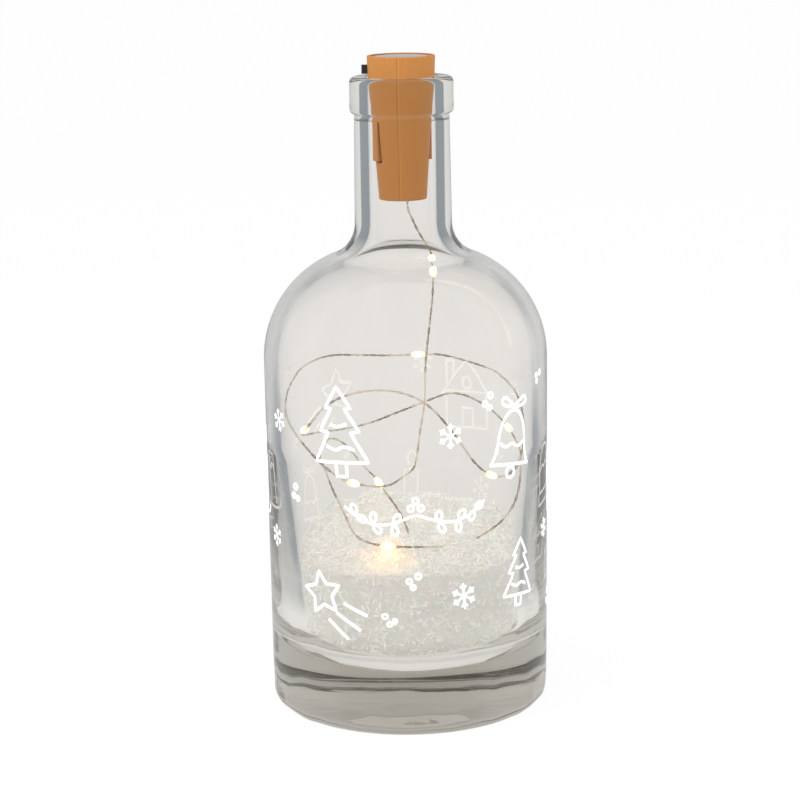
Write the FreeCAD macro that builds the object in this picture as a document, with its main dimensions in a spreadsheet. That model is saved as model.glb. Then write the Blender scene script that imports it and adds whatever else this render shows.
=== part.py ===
import FreeCAD, Part
import math
import os
from types import SimpleNamespace

import Sketcher

# Cork bottle light: a clear bottle with a plug that carries a battery, a solar disc, a slide switch and
# a string of small lamps, which lies in loops over artificial snow. Lengths are in millimetres, +Z is up
# and the origin is the centre of the bottle's base. The plug's mould seam lies in the YZ plane and its
# switch looks towards -X.

doc = FreeCAD.newDocument("BottleLight")
sheet = doc.addObject("Spreadsheet::Sheet", "Sizes")

SIZES = [
    ("bottle_height", 205.5, "mouth above the table"),
    ("body_radius", 46.0, "widest part of the glass"),
    ("base_radius", 45.5, "glass just above its rounded heel"),
    ("heel_round", 4.9, "rounding between base and side"),
    ("shoulder_start", 115.0, "height where the shoulder begins to curve"),
    ("shoulder_round", 36.0, "radius of the shoulder"),
    ("shoulder_hollow", 11.0, "radius of the hollow that leads into the neck"),
    ("neck_taper", 0.45, "how much the neck narrows from its foot up to the lip"),
    ("lip_reach", 1.4, "how far the thick ring round the mouth stands out of the neck"),
    ("lip_depth", 11.6, "height of that ring"),
    ("lip_round", 1.8, "its rounded edges"),
    ("mouth_round", 1.0, "rounding at the inside of the mouth"),
    ("glass_wall", 4.85, "wall of body, shoulder and neck"),
    ("thick_from", 87.0, "height below which the wall thickens"),
    ("heel_wall", 9.3, "wall just above the floor"),
    ("floor_height", 17.5, "thickness of the glass floor at its edge"),
    ("floor_rise", 1.5, "how far the floor rises to its middle"),
    ("corner_round", 14.0, "inner corner between floor and wall"),
    ("foot_width", 6.6, "flat ring that the bottle stands on, between the hollow and the heel"),
    ("punt_depth", 2.0, "depth of the hollow under the base"),
    ("snow_gap", 0.3, "snow to glass"),
    ("snow_edge", 52.5, "height of the snow at the glass"),
    ("snow_crown", 56.0, "height of the snow in the middle"),
    ("hummock_share", 0.32, "radius of the small hills in the snow, as a share of the snow's own"),
    ("hummock_rise", 1.8, "how far they stand out of it"),
    ("head_rise", 6.6, "how far the plug stands out of the mouth"),
    ("mouth_gap", 0.15, "plug to the inside of the mouth"),
    ("side_room", 1.5, "room beside the battery for the leads, at the tip"),
    ("tip_round", 0.4, "its edge"),
    ("waist_spread", 1.75, "how much the plug widens up to where its taper steepens"),
    ("waist_drop", 1.8, "top of the battery down to that place, where the tongues start too"),
    ("collar_spread", 1.15, "how much it widens from there up to where the taper eases"),
    ("collar_drop", 8.0, "top of the plug down to that place"),
    ("head_spread", 0.25, "how much it widens from there to the top"),
    ("plug_wall", 1.2, "wall of the tapered part"),
    ("plug_floor", 1.2, "floor of the casing"),
    ("chamber_wall", 1.3, "wall round the board and the switch"),
    ("shelf_width", 0.7, "step that the board rests on"),
    ("rim_wall", 1.0, "thin rim round the solar disc"),
    ("rim_round", 0.35, "outer edge of the rim"),
    ("pin_radius", 0.35, "locating pins between the casing halves"),
    ("pin_reach", 1.0, "how far they go into the other half"),
    ("pin_gap", 0.05, "pin to socket"),
    ("pin_low", 5.0, "height of the lower pair of pins"),
    ("pin_rise", 5.2, "upper pair of pins above the battery"),
    ("tongue_angle", 50.0, "width of a spring tongue in degrees"),
    ("tongue_turn", 22.0, "turn of the tongues from the X axis in degrees"),
    ("tongue_length", 13.4, "root of a tongue down to its free end"),
    ("tongue_lift", 0.9, "how far the free end stands out"),
    ("tongue_wall", 1.1, "thickness of a tongue"),
    ("slit_width", 0.5, "slit under a tongue"),
    ("slit_angle", 3.5, "slit beside a tongue in degrees"),
    ("cell_radius", 4.85, "battery"),
    ("cell_length", 24.0, "battery without its cap"),
    ("cell_bottom", 3.8, "lower end of the battery above the tip"),
    ("cell_round", 0.5, "rolled edges of the battery"),
    ("cap_radius", 1.75, "positive cap"),
    ("cap_rise", 0.9, "height of the cap"),
    ("sleeve_wall", 0.15, "shrunk sleeve round the battery"),
    ("sleeve_fold", 1.2, "how far the sleeve folds over the ends"),
    ("washer_wall", 0.25, "paper washer under the sleeve"),
    ("tab_width", 3.0, "nickel strip"),
    ("tab_length", 6.4, "its length"),
    ("tab_wall", 0.15, "its thickness"),
    ("cradle_gap", 0.1, "battery to the ribs that hold it"),
    ("rib_wall", 1.2, "thickness of those ribs"),
    ("rib_angle", 120.0, "how far a rib runs round in degrees"),
    ("cradle_height", 7.5, "lower rib above the tip"),
    ("post_width", 2.0, "post under the battery, out from the seam"),
    ("component_room", 11.0, "top of the battery to the underside of the board"),
    ("board_wall", 0.8, "thickness of the board"),
    ("board_gap", 0.2, "board to casing"),
    ("can_depth", 3.6, "switch along X"),
    ("can_width", 8.5, "switch along Y"),
    ("can_height", 3.2, "switch along Z"),
    ("can_inset", 1.3, "front of the switch to the wall of its room"),
    ("can_wall", 0.3, "sheet steel of the switch"),
    ("stem_width", 1.4, "stem of the slider"),
    ("stem_reach", 2.4, "how far the stem stands out of the switch"),
    ("slide_gap", 0.2, "slider to the switch all round"),
    ("carriage_width", 3.6, "slider inside the switch"),
    ("carriage_depth", 1.6, "its depth"),
    ("wiper_wall", 0.2, "spring contact on the slider"),
    ("knob_width", 2.0, "knob along its travel"),
    ("knob_height", 2.8, "knob across its travel"),
    ("knob_out", 1.6, "how far the knob stands out of the plug's top edge"),
    ("knob_off", 0.3, "knob to the front of the switch"),
    ("knob_travel", 2.0, "from on to off"),
    ("knob_gap", 0.3, "knob to its slot in the casing"),
    ("terminal_width", 0.6, "switch terminals"),
    ("terminal_wall", 0.3, "their thickness"),
    ("terminal_pitch", 2.5, "distance between them"),
    ("terminal_out", 0.8, "how far they stand out before they turn down"),
    ("terminal_drop", 0.7, "how far they come through the board"),
    ("hole_gap", 0.1, "terminal to its hole in the board"),
    ("base_wall", 0.8, "insulating base of the switch"),
    ("chip_width", 4.8, "driver chip"),
    ("chip_depth", 1.6, "its thickness"),
    ("chip_height", 3.4, "its height"),
    ("chip_out", 4.6, "its place from the seam"),
    ("leg_width", 0.45, "legs of the chip"),
    ("leg_length", 1.6, "chip to board"),
    ("leg_pitch", 1.2, "distance between legs"),
    ("choke_radius", 1.6, "coil"),
    ("choke_waist", 1.25, "its wound middle"),
    ("choke_length", 6.4, "its length"),
    ("choke_end", 0.8, "its end flanges"),
    ("choke_out", 3.6, "its place from the seam"),
    ("choke_drop", 3.2, "its axis under the board"),
    ("choke_lead", 0.3, "radius of its leads"),
    ("choke_span", 5.0, "its leads from the middle"),
    ("panel_wall", 0.8, "backing board of the solar disc"),
    ("panel_gap", 0.12, "solar disc to rim"),
    ("panel_lift", 0.4, "switch to solar disc"),
    ("panel_sink", 2.3, "top of the rim to the underside of the solar disc"),
    ("solar_inset", 0.83, "edge of the disc to its silicon"),
    ("solar_wall", 0.25, "its thickness"),
    ("solar_split", 0.35, "line between two strips"),
    ("cover_wall", 1.15, "clear cover at its edge"),
    ("cover_crown", 0.45, "how much thicker it is in the middle"),
    ("wire_radius", 0.3, "twisted pair of the lamp string"),
    ("wire_hole_gap", 0.15, "string to its hole in the casing"),
    ("lead_radius", 0.35, "insulated leads"),
    ("lead_bend", 1.0, "where the solar leads bend, from the board and from the disc"),
    ("drop_radius", 1.2, "clear resin bead of a lamp"),
    ("drop_length", 4.2, "its length along the string"),
    ("chip_lamp_length", 1.6, "lamp chip in a bead"),
    ("chip_lamp_width", 0.8, "its width and height"),
    ("glue_radius", 0.72, "blob of glue where the string goes in"),
    ("glue_rise", 1.1, "its height"),
    ("overrun", 2.0, "how far a cutter runs past what it cuts"),
]

for number, (alias, value, note) in enumerate(SIZES, start=1):
    sheet.set(f"A{number}", note)
    sheet.set(f"B{number}", str(value))
    sheet.setAlias(f"B{number}", alias)
doc.recompute()


class Size:
    """A length with the formula that gives it from the sheet, so that both stay the same."""

    def __init__(self, value, text):
        self.value = value
        self.text = text

    def _join(self, other, sign, value):
        return Size(value, f"({self.text} {sign} {sized(other).text})")

    def __add__(self, other):
        return self._join(other, "+", self.value + sized(other).value)

    def __sub__(self, other):
        return self._join(other, "-", self.value - sized(other).value)

    def __mul__(self, other):
        return self._join(other, "*", self.value * sized(other).value)

    def __truediv__(self, other):
        return self._join(other, "/", self.value / sized(other).value)

    def __neg__(self):
        return Size(-self.value, f"(0 - {self.text})")


def sized(thing):
    return thing if isinstance(thing, Size) else Size(float(thing), repr(thing))


def root(size):
    return Size(math.sqrt(size.value), f"sqrt({size.text})")


ZERO = Size(0.0, "0")

dim = SimpleNamespace(**{alias: Size(float(value), f"Sizes.{alias}") for alias, value, note in SIZES})
pieces = []


def bind(thing, name, size):
    """Tie a property to its formula, through the sheet."""
    thing.setExpression(name, sized(size).text)


def keep(thing, label, seated=False, above=ZERO):
    """Name a finished piece, and lift it to the plug's seat if it belongs to the plug.

    Above is the piece's own height over the tip, where its shape starts at zero.
    """
    thing.Label = label
    if seated:
        thing.Placement.Base.z = (plug_seat + above).value
        bind(thing, "Placement.Base.z", plug_seat + above)
    pieces.append(thing)
    return thing


# Helpers for sketches


def plane_of(body, role):
    return next(item for item in body.Origin.OriginFeatures if item.Role == role)


def place_sketch(sketch, body, role, lift=None, turn=None):
    """Put a sketch on one of its body's own planes, lifted off it or turned about the Z axis."""
    sketch.AttachmentSupport = [(plane_of(body, role), "")]
    sketch.MapMode = "FlatFace"
    if lift is not None:
        sketch.AttachmentOffset.Base.z = lift.value
        bind(sketch, "AttachmentOffset.Base.z", lift)
    if turn is not None:
        spin = FreeCAD.Rotation(FreeCAD.Vector(0, 1, 0), turn.value)
        sketch.AttachmentOffset = FreeCAD.Placement(FreeCAD.Vector(), spin)
        bind(sketch, "AttachmentOffset.Rotation.Angle", turn)


def pin_point(sketch, edge, end, x, y):
    """Hold one end of an edge at x and y by two dimensions."""
    for name, axis, size in (("DistanceX", -2, x), ("DistanceY", -1, y)):
        if size.text == "0":
            sketch.addConstraint(Sketcher.Constraint("PointOnObject", edge, end, axis))
            continue
        number = sketch.addConstraint(Sketcher.Constraint(name, -1, 1, edge, end, size.value))
        bind(sketch, f"Constraints[{number}]", size)


def outline(sketch, corners):
    """Draw a closed outline. A corner is x, y, and for an arc to the next corner its radius and side.

    Side is 1 for an arc that bulges to the left of the way along the outline and -1 to the right.
    """
    corners = [tuple(sized(part) for part in corner) for corner in corners]
    starts = []
    for number, corner in enumerate(corners):
        following = corners[(number + 1) % len(corners)]
        here = FreeCAD.Vector(corner[0].value, corner[1].value, 0)
        there = FreeCAD.Vector(following[0].value, following[1].value, 0)
        if len(corner) == 2:
            edge = sketch.addGeometry(Part.LineSegment(here, there))
            starts.append((edge, 1, 2))
            continue
        radius = corner[2].value
        side = corner[3].value
        chord = there - here
        left = FreeCAD.Vector(-chord.y, chord.x, 0).normalize()
        depth = math.sqrt(max(0.0, radius**2 - (chord.Length / 2) ** 2))
        centre = (here + there) / 2 - left * depth * side
        first, last = (there, here) if side > 0 else (here, there)
        begin = math.atan2(first.y - centre.y, first.x - centre.x)
        sweep = 2 * math.asin(min(1.0, chord.Length / 2 / radius))
        whole = Part.Circle(centre, FreeCAD.Vector(0, 0, 1), radius)
        edge = sketch.addGeometry(Part.ArcOfCircle(whole, begin, begin + sweep))
        starts.append((edge, 2, 1) if side > 0 else (edge, 1, 2))
        number = sketch.addConstraint(Sketcher.Constraint("Radius", edge, radius))
        bind(sketch, f"Constraints[{number}]", corner[2])
    for (edge, start, end), (after, first, last) in zip(starts, starts[1:] + starts[:1]):
        sketch.addConstraint(Sketcher.Constraint("Coincident", edge, end, after, first))
    for (edge, start, end), corner in zip(starts, corners):
        pin_point(sketch, edge, start, corner[0], corner[1])


def circle(sketch, x, y, radius):
    centre = FreeCAD.Vector(x.value, y.value, 0)
    edge = sketch.addGeometry(Part.Circle(centre, FreeCAD.Vector(0, 0, 1), radius.value))
    pin_point(sketch, edge, 3, x, y)
    number = sketch.addConstraint(Sketcher.Constraint("Radius", edge, radius.value))
    bind(sketch, f"Constraints[{number}]", radius)


def rectangle(x_low, x_high, y_low, y_high):
    return [(x_low, y_low), (x_high, y_low), (x_high, y_high), (x_low, y_high)]


def sketch_in(body, name, role, lift=None, turn=None):
    sketch = body.newObject("Sketcher::SketchObject", name)
    place_sketch(sketch, body, role, lift, turn)
    return sketch


def new_body(name):
    return doc.addObject("PartDesign::Body", name)


def revolve(body, name, corners, angle=None, turn=None, cut=False):
    """Turn an outline of radius and height about the Z axis, all round or by an angle both ways."""
    sketch = sketch_in(body, name + "_outline", "XZ_Plane", turn=turn)
    outline(sketch, corners)
    feature = body.newObject("PartDesign::Groove" if cut else "PartDesign::Revolution", name)
    feature.Profile = (sketch, [""])
    feature.ReferenceAxis = (sketch, ["V_Axis"])
    if angle is not None:
        bind(feature, "Angle", angle)
        feature.Midplane = True
    return feature


def pad(body, name, role, corners, length, lift=None, back=False):
    """Raise an outline from a plane. Round outlines come as a list of circles."""
    sketch = sketch_in(body, name + "_outline", role, lift)
    if len(corners[0]) == 3:
        for x, y, radius in corners:
            circle(sketch, sized(x), sized(y), radius)
    else:
        outline(sketch, corners)
    feature = body.newObject("PartDesign::Pad", name)
    feature.Profile = (sketch, [""])
    bind(feature, "Length", length)
    feature.Reversed = back
    return feature


def pocket(body, name, role, corners, depth, lift=None, back=False):
    """Cut an outline into the body, and stop if the cut takes nothing away."""
    doc.recompute()
    before = body.Shape.Volume
    sketch = sketch_in(body, name + "_outline", role, lift)
    if len(corners[0]) == 3:
        for x, y, radius in corners:
            circle(sketch, sized(x), sized(y), radius)
    else:
        outline(sketch, corners)
    feature = body.newObject("PartDesign::Pocket", name)
    feature.Profile = (sketch, [""])
    bind(feature, "Length", depth)
    feature.Reversed = back
    doc.recompute()
    if not body.Shape.Volume < before:
        raise RuntimeError(f"{name} cuts nothing")
    return feature


def repeat(body, name, feature, sketch_axis, reach, count):
    """Repeat a feature in a line of evenly spaced copies."""
    pattern = body.newObject("PartDesign::LinearPattern", name)
    pattern.Originals = [feature]
    pattern.Direction = (feature.Profile[0], [sketch_axis])
    bind(pattern, "Length", reach)
    pattern.Occurrences = count
    body.Tip = pattern
    return pattern


# Sizes that several pieces share

cell_outer = dim.cell_radius + dim.sleeve_wall
cell_top = dim.cell_bottom + dim.cell_length
tip_radius = cell_outer + dim.side_room + dim.plug_wall
waist_radius = tip_radius + dim.waist_spread
collar_radius = waist_radius + dim.collar_spread
head_radius = collar_radius + dim.head_spread
chamber_radius = collar_radius - dim.chamber_wall

board_height = cell_top + dim.component_room
board_top = board_height + dim.board_wall
choke_height = board_height - dim.choke_drop
knob_level = board_top + dim.can_height / 2
panel_height = board_top + dim.can_height + dim.panel_lift
panel_top = panel_height + dim.panel_wall
plug_height = panel_height + dim.panel_sink
seat_depth = plug_height - dim.head_rise
plug_seat = dim.bottle_height - seat_depth
waist_height = cell_top - dim.waist_drop
collar_height = plug_height - dim.collar_drop
tongue_top = waist_height
tongue_bottom = tongue_top - dim.tongue_length
rebate_radius = head_radius - dim.rim_wall
panel_radius = rebate_radius - dim.panel_gap
solar_radius = panel_radius - dim.solar_inset
can_front = chamber_radius - dim.can_inset


def taper(height):
    """Radius of the plug's outside at a height between its waist and its collar, or below the waist."""
    if height.value <= waist_height.value:
        share = height / waist_height
        return tip_radius + (waist_radius - tip_radius) * share
    if height.value <= collar_height.value:
        share = (height - waist_height) / (collar_height - waist_height)
        return waist_radius + (collar_radius - waist_radius) * share
    share = (height - collar_height) / (plug_height - collar_height)
    return collar_radius + (head_radius - collar_radius) * share


mouth_radius = taper(seat_depth) + dim.mouth_gap
neck_radius = mouth_radius + dim.glass_wall
neck_top_radius = neck_radius - dim.neck_taper
lip_radius = neck_top_radius + dim.lip_reach
inner_radius = dim.body_radius - dim.glass_wall
heel_inner = dim.base_radius - dim.heel_wall
punt_radius = dim.base_radius - dim.heel_round - dim.foot_width
corner_top = dim.floor_height + dim.corner_round


# Bottle

turn_span = dim.shoulder_round + dim.shoulder_hollow
turn_cosine = (neck_radius + dim.shoulder_hollow - dim.body_radius + dim.shoulder_round) / turn_span
turn_sine = root(sized(1) - turn_cosine * turn_cosine)
shoulder_centre = dim.body_radius - dim.shoulder_round
shoulder_top = dim.shoulder_start + turn_span * turn_sine
lip_bottom = dim.bottle_height - dim.lip_depth


def make_glass_bottle():
    body = new_body("Bottle")
    punt_round = (punt_radius * punt_radius + dim.punt_depth * dim.punt_depth) / (dim.punt_depth * 2)
    inner_round = dim.shoulder_round - dim.glass_wall
    corners = [
        (ZERO, dim.punt_depth, punt_round, 1),
        (punt_radius, ZERO),
        (dim.base_radius - dim.heel_round, ZERO, dim.heel_round, -1),
        (dim.base_radius, dim.heel_round),
        (dim.body_radius, dim.shoulder_start, dim.shoulder_round, -1),
        (
            shoulder_centre + dim.shoulder_round * turn_cosine,
            dim.shoulder_start + dim.shoulder_round * turn_sine,
            dim.shoulder_hollow,
            1,
        ),
        (neck_radius, shoulder_top),
        (neck_top_radius, lip_bottom),
        (lip_radius - dim.lip_round / 2, lip_bottom, dim.lip_round, -1),
        (lip_radius, lip_bottom + dim.lip_round / 2),
        (lip_radius, dim.bottle_height - dim.lip_round, dim.lip_round, -1),
        (lip_radius - dim.lip_round, dim.bottle_height),
        (mouth_radius + dim.mouth_round, dim.bottle_height, dim.mouth_round, -1),
        (mouth_radius, dim.bottle_height - dim.mouth_round),
        (neck_radius - dim.glass_wall, shoulder_top, dim.shoulder_hollow + dim.glass_wall, -1),
        (
            shoulder_centre + inner_round * turn_cosine,
            dim.shoulder_start + inner_round * turn_sine,
            inner_round,
            1,
        ),
        (inner_radius, dim.shoulder_start),
        (inner_radius, dim.thick_from),
        (heel_inner, corner_top, dim.corner_round, 1),
        (heel_inner - dim.corner_round, dim.floor_height),
        (ZERO, dim.floor_height + dim.floor_rise),
    ]
    revolve(body, "Glass", corners)
    return keep(body, "glass_bottle")


# Snow: it fills the lower part of the bottle, domed, with a few small hills

HILL_SHARES = [(0.46, -0.30), (-0.10, -0.52), (-0.52, 0.06), (0.16, 0.40), (0.56, 0.26), (-0.34, 0.50)]


def make_snow():
    body = new_body("SnowBed")
    edge_share = (dim.snow_edge - corner_top) / (dim.thick_from - corner_top)
    edge_radius = heel_inner + (inner_radius - heel_inner) * edge_share - dim.snow_gap
    rise = dim.snow_crown - dim.snow_edge
    dome_round = (edge_radius * edge_radius + rise * rise) / (rise * 2)
    bed_low = dim.floor_height + dim.snow_gap
    corners = [
        (ZERO, bed_low + dim.floor_rise),
        (heel_inner - dim.corner_round, bed_low, dim.corner_round - dim.snow_gap, -1),
        (heel_inner - dim.snow_gap, corner_top),
        (edge_radius, dim.snow_edge, dome_round, -1),
        (ZERO, dim.snow_crown),
    ]
    revolve(body, "Bed", corners)
    hills = []
    for number, (x_share, y_share) in enumerate(HILL_SHARES, start=1):
        hill = doc.addObject("Part::Sphere", f"Hill{number}")
        bind(hill, "Radius", edge_radius * dim.hummock_share)
        bind(hill, "Placement.Base.x", edge_radius * x_share)
        bind(hill, "Placement.Base.y", edge_radius * y_share)
        bind(hill, "Placement.Base.z", dim.snow_crown + dim.hummock_rise - edge_radius * dim.hummock_share)
        hills.append(hill)
    mound = doc.addObject("Part::MultiFuse", "Snow")
    mound.Shapes = [body] + hills
    return keep(mound, "snow_fill")


# Plug casing: two moulded halves that meet in the YZ plane


def make_casing_half(name, label, side):
    """Side is -1 for the half with the switch and 1 for the plain one."""
    body = new_body(name)
    shell = sketch_in(body, name + "_wall", "YZ_Plane")
    outline(
        shell,
        [
            (ZERO, ZERO),
            (tip_radius - dim.tip_round, ZERO, dim.tip_round, -1),
            (tip_radius, dim.tip_round),
            (waist_radius, waist_height),
            (collar_radius, collar_height),
            (head_radius, plug_height - dim.rim_round, dim.rim_round, -1),
            (head_radius - dim.rim_round, plug_height),
            (rebate_radius, plug_height),
            (rebate_radius, panel_height),
            (chamber_radius, panel_height),
            (chamber_radius, board_height),
            (chamber_radius - dim.shelf_width, board_height),
            (waist_radius - dim.plug_wall, waist_height),
            (taper(dim.plug_floor) - dim.plug_wall, dim.plug_floor),
            (ZERO, dim.plug_floor),
        ],
    )
    wall = body.newObject("PartDesign::Revolution", name + "_shell")
    wall.Profile = (shell, [""])
    wall.ReferenceAxis = (shell, ["V_Axis"])
    wall.Angle = 180
    wall.Reversed = side > 0

    outward = sized(0) if side > 0 else sized(180)
    tongue_at = outward + dim.tongue_turn
    window = rectangle(
        taper(tongue_bottom) - dim.plug_wall - dim.overrun,
        waist_radius + dim.overrun,
        tongue_bottom - dim.slit_width,
        tongue_top,
    )
    revolve(body, name + "_window", window, dim.tongue_angle + dim.slit_angle * 2, tongue_at, cut=True)
    free_end = taper(tongue_bottom) + dim.tongue_lift
    rooted = tongue_top + dim.tongue_wall
    tongue = [
        (free_end - dim.tongue_wall, tongue_bottom),
        (free_end, tongue_bottom),
        (taper(tongue_top), tongue_top),
        (taper(tongue_top) - dim.plug_wall / 4, rooted),
        (taper(tongue_top) - dim.tongue_wall, rooted),
        (taper(tongue_top) - dim.tongue_wall, tongue_top),
    ]
    revolve(body, name + "_tongue", tongue, dim.tongue_angle, tongue_at)

    held = cell_outer + dim.cradle_gap
    low_top = dim.cradle_height + dim.rib_wall
    lower_rib = rectangle(held, taper(dim.cradle_height) - dim.plug_wall / 2, dim.cradle_height, low_top)
    revolve(body, name + "_lower_rib", lower_rib, dim.rib_angle, outward)
    stop_low = cell_top + dim.sleeve_wall + dim.cradle_gap
    upper_rib = [
        (held, tongue_top + dim.slit_width),
        (waist_radius - dim.plug_wall / 2, tongue_top + dim.slit_width),
        (waist_radius - dim.plug_wall / 2, stop_low + dim.rib_wall),
        (held - dim.rib_wall, stop_low + dim.rib_wall),
        (held - dim.rib_wall, stop_low),
        (held, stop_low),
    ]
    revolve(body, name + "_upper_rib", upper_rib, dim.rib_angle, outward)

    post_top = dim.cell_bottom - dim.tab_wall - dim.cradle_gap
    reach = dim.post_width if side > 0 else -dim.post_width
    post = rectangle(ZERO, reach, -dim.tab_length / 2, -dim.post_width / 2)
    pad(body, name + "_post", "XY_Plane", post, post_top)

    pins = [
        (taper(height) - dim.plug_wall / 2, height) for height in (dim.pin_low, cell_top + dim.pin_rise)
    ]
    for number, (across, height) in enumerate(pins + [(-across, height) for across, height in pins]):
        if side < 0:
            spot = [(across, height, dim.pin_radius)]
            pad(body, f"{name}_pin{number}", "YZ_Plane", spot, dim.pin_reach)
        else:
            spot = [(across, height, dim.pin_radius + dim.pin_gap)]
            deep = dim.pin_reach + dim.pin_gap
            pocket(body, f"{name}_socket{number}", "YZ_Plane", spot, deep, back=True)

    if side < 0:
        half_slot = dim.knob_width / 2 + dim.knob_travel / 2 + dim.knob_gap
        half_tall = dim.knob_height / 2 + dim.knob_gap
        slot = rectangle(-half_slot, half_slot, knob_level - half_tall, knob_level + half_tall)
        pocket(body, name + "_switch_slot", "YZ_Plane", slot, head_radius + dim.overrun)
    else:
        exit_x, exit_y = STRING_EXIT[0], STRING_EXIT[1]
        hole = [(sized(exit_x), sized(exit_y), dim.wire_radius + dim.wire_hole_gap)]
        pocket(body, name + "_string_hole", "XY_Plane", hole, dim.plug_floor + dim.overrun, back=True)
    return keep(body, label, seated=True)


# Solar disc


def make_solar_disc():
    board = new_body("SolarBoard")
    pad(board, "SolarBoard_disc", "XY_Plane", [(ZERO, ZERO, panel_radius)], dim.panel_wall, panel_height)
    keep(board, "solar_backing_board", seated=True)

    disc = doc.addObject("Part::Cylinder", "Silicon")
    bind(disc, "Radius", solar_radius)
    bind(disc, "Height", dim.solar_wall)
    bind(disc, "Placement.Base.z", panel_top)
    splits = []
    for number in (-1, 0, 1):
        split = doc.addObject("Part::Box", f"Split{number + 2}")
        bind(split, "Length", dim.solar_split)
        bind(split, "Width", (solar_radius + dim.overrun) * 2)
        bind(split, "Height", dim.solar_wall + dim.overrun)
        bind(split, "Placement.Base.x", solar_radius / 2 * number - dim.solar_split / 2)
        bind(split, "Placement.Base.y", -(solar_radius + dim.overrun))
        bind(split, "Placement.Base.z", panel_top - dim.overrun / 2)
        splits.append(split)
    combs = doc.addObject("Part::Compound", "Splits")
    combs.Links = splits
    cells = doc.addObject("Part::Cut", "Cells")
    cells.Base = disc
    cells.Tool = combs
    keep(cells, "solar_cells", seated=True)

    cover = new_body("SolarCover")
    inside = solar_radius + dim.panel_gap
    edge = panel_top + dim.cover_wall
    crown_round = (panel_radius * panel_radius + dim.cover_crown * dim.cover_crown) / (dim.cover_crown * 2)
    corners = [
        (ZERO, panel_top + dim.solar_wall),
        (inside, panel_top + dim.solar_wall),
        (inside, panel_top),
        (panel_radius, panel_top),
        (panel_radius, edge, crown_round, -1),
        (ZERO, edge + dim.cover_crown),
    ]
    revolve(cover, "SolarCover_dome", corners)
    keep(cover, "solar_cover", seated=True)


# Circuit board with its parts


def make_board():
    board = new_body("Board")
    board_radius = chamber_radius - dim.board_gap
    pad(board, "Board_disc", "XY_Plane", [(ZERO, ZERO, board_radius)], dim.board_wall, board_height)
    inner = terminal_x - dim.terminal_wall / 2 - dim.hole_gap
    outer = terminal_x + dim.terminal_wall / 2 + dim.hole_gap
    half = dim.terminal_width / 2 + dim.hole_gap
    first = -dim.terminal_pitch
    hole = rectangle(inner, outer, first - half, first + half)
    deep = dim.board_wall + dim.overrun
    cut = pocket(board, "Board_hole", "XY_Plane", hole, deep, board_height - dim.overrun / 2, back=True)
    repeat(board, "Board_holes", cut, "V_Axis", dim.terminal_pitch * 2, 3)
    return keep(board, "circuit_board", seated=True)


def make_chip():
    body = new_body("Chip")
    top = board_height - dim.leg_length
    half = dim.chip_width / 2
    face = -dim.chip_out - dim.chip_depth / 2
    back = -dim.chip_out + dim.chip_depth / 2
    bevel = dim.chip_depth / 3
    corners = [
        (back, -half),
        (back, half),
        (face + bevel, half),
        (face, half - bevel),
        (face, -half + bevel),
        (face + bevel, -half),
    ]
    pad(body, "Chip_case", "XY_Plane", corners, dim.chip_height, top - dim.chip_height)
    keep(body, "driver_chip", seated=True)

    legs = []
    for number in (-1.5, -0.5, 0.5, 1.5):
        leg = doc.addObject("Part::Box", "Leg")
        bind(leg, "Length", dim.leg_width)
        bind(leg, "Width", dim.leg_width)
        bind(leg, "Height", dim.leg_length)
        bind(leg, "Placement.Base.x", -dim.chip_out - dim.leg_width / 2)
        bind(leg, "Placement.Base.y", dim.leg_pitch * number - dim.leg_width / 2)
        bind(leg, "Placement.Base.z", top)
        legs.append(leg)
    row = doc.addObject("Part::Compound", "Legs")
    row.Links = legs
    keep(row, "driver_chip_legs", seated=True)


def make_choke():
    """A drum wound with wire, lying along Y under the board, with a lead up from each end."""
    body = new_body("Choke")
    half = dim.choke_length / 2
    sketch = sketch_in(body, "Choke_outline", "YZ_Plane", dim.choke_out)
    high = choke_height
    rolled = dim.choke_end / 2
    outline(
        sketch,
        [
            (-half, high),
            (-half, high + dim.choke_radius - rolled, rolled, -1),
            (-half + rolled, high + dim.choke_radius),
            (-half + dim.choke_end, high + dim.choke_radius),
            (-half + dim.choke_end, high + dim.choke_waist),
            (half - dim.choke_end, high + dim.choke_waist),
            (half - dim.choke_end, high + dim.choke_radius),
            (half - rolled, high + dim.choke_radius, rolled, -1),
            (half, high + dim.choke_radius - rolled),
            (half, high),
        ],
    )
    spin_line = sketch.addGeometry(
        Part.LineSegment(
            FreeCAD.Vector(-half.value, high.value, 0), FreeCAD.Vector(half.value, high.value, 0)
        ),
        True,
    )
    pin_point(sketch, spin_line, 1, -half, high)
    pin_point(sketch, spin_line, 2, half, high)
    drum = body.newObject("PartDesign::Revolution", "Choke_drum")
    drum.Profile = (sketch, [""])
    drum.ReferenceAxis = (sketch, ["Axis0"])
    keep(body, "choke_coil", seated=True)

    at = dim.choke_out.value
    leads = []
    for way in (-1, 1):
        route = [
            (at, way * half.value, high.value),
            (at, way * dim.choke_span.value, high.value),
            (at, way * dim.choke_span.value, board_height.value),
        ]
        leads.append(tube(route, dim.choke_lead.value, "choke lead"))
    shape_piece("choke_leads", leads, seated=True)


# Slide switch

can_back = -can_front + dim.can_depth
can_low = board_top
can_high = board_top + dim.can_height
terminal_x = can_back + dim.terminal_out
knob_at = -dim.knob_travel / 2
knob_reach = head_radius + dim.knob_out
knob_root = can_front + dim.knob_off


def make_box(name, x_low, x_high, y_low, y_high, z_low, z_high):
    box = doc.addObject("Part::Box", name)
    bind(box, "Length", x_high - x_low)
    bind(box, "Width", y_high - y_low)
    bind(box, "Height", z_high - z_low)
    bind(box, "Placement.Base.x", x_low)
    bind(box, "Placement.Base.y", y_low)
    bind(box, "Placement.Base.z", z_low)
    return box


def cut_from(name, base, tool):
    cut = doc.addObject("Part::Cut", name)
    cut.Base = base
    cut.Tool = tool
    return cut


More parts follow.
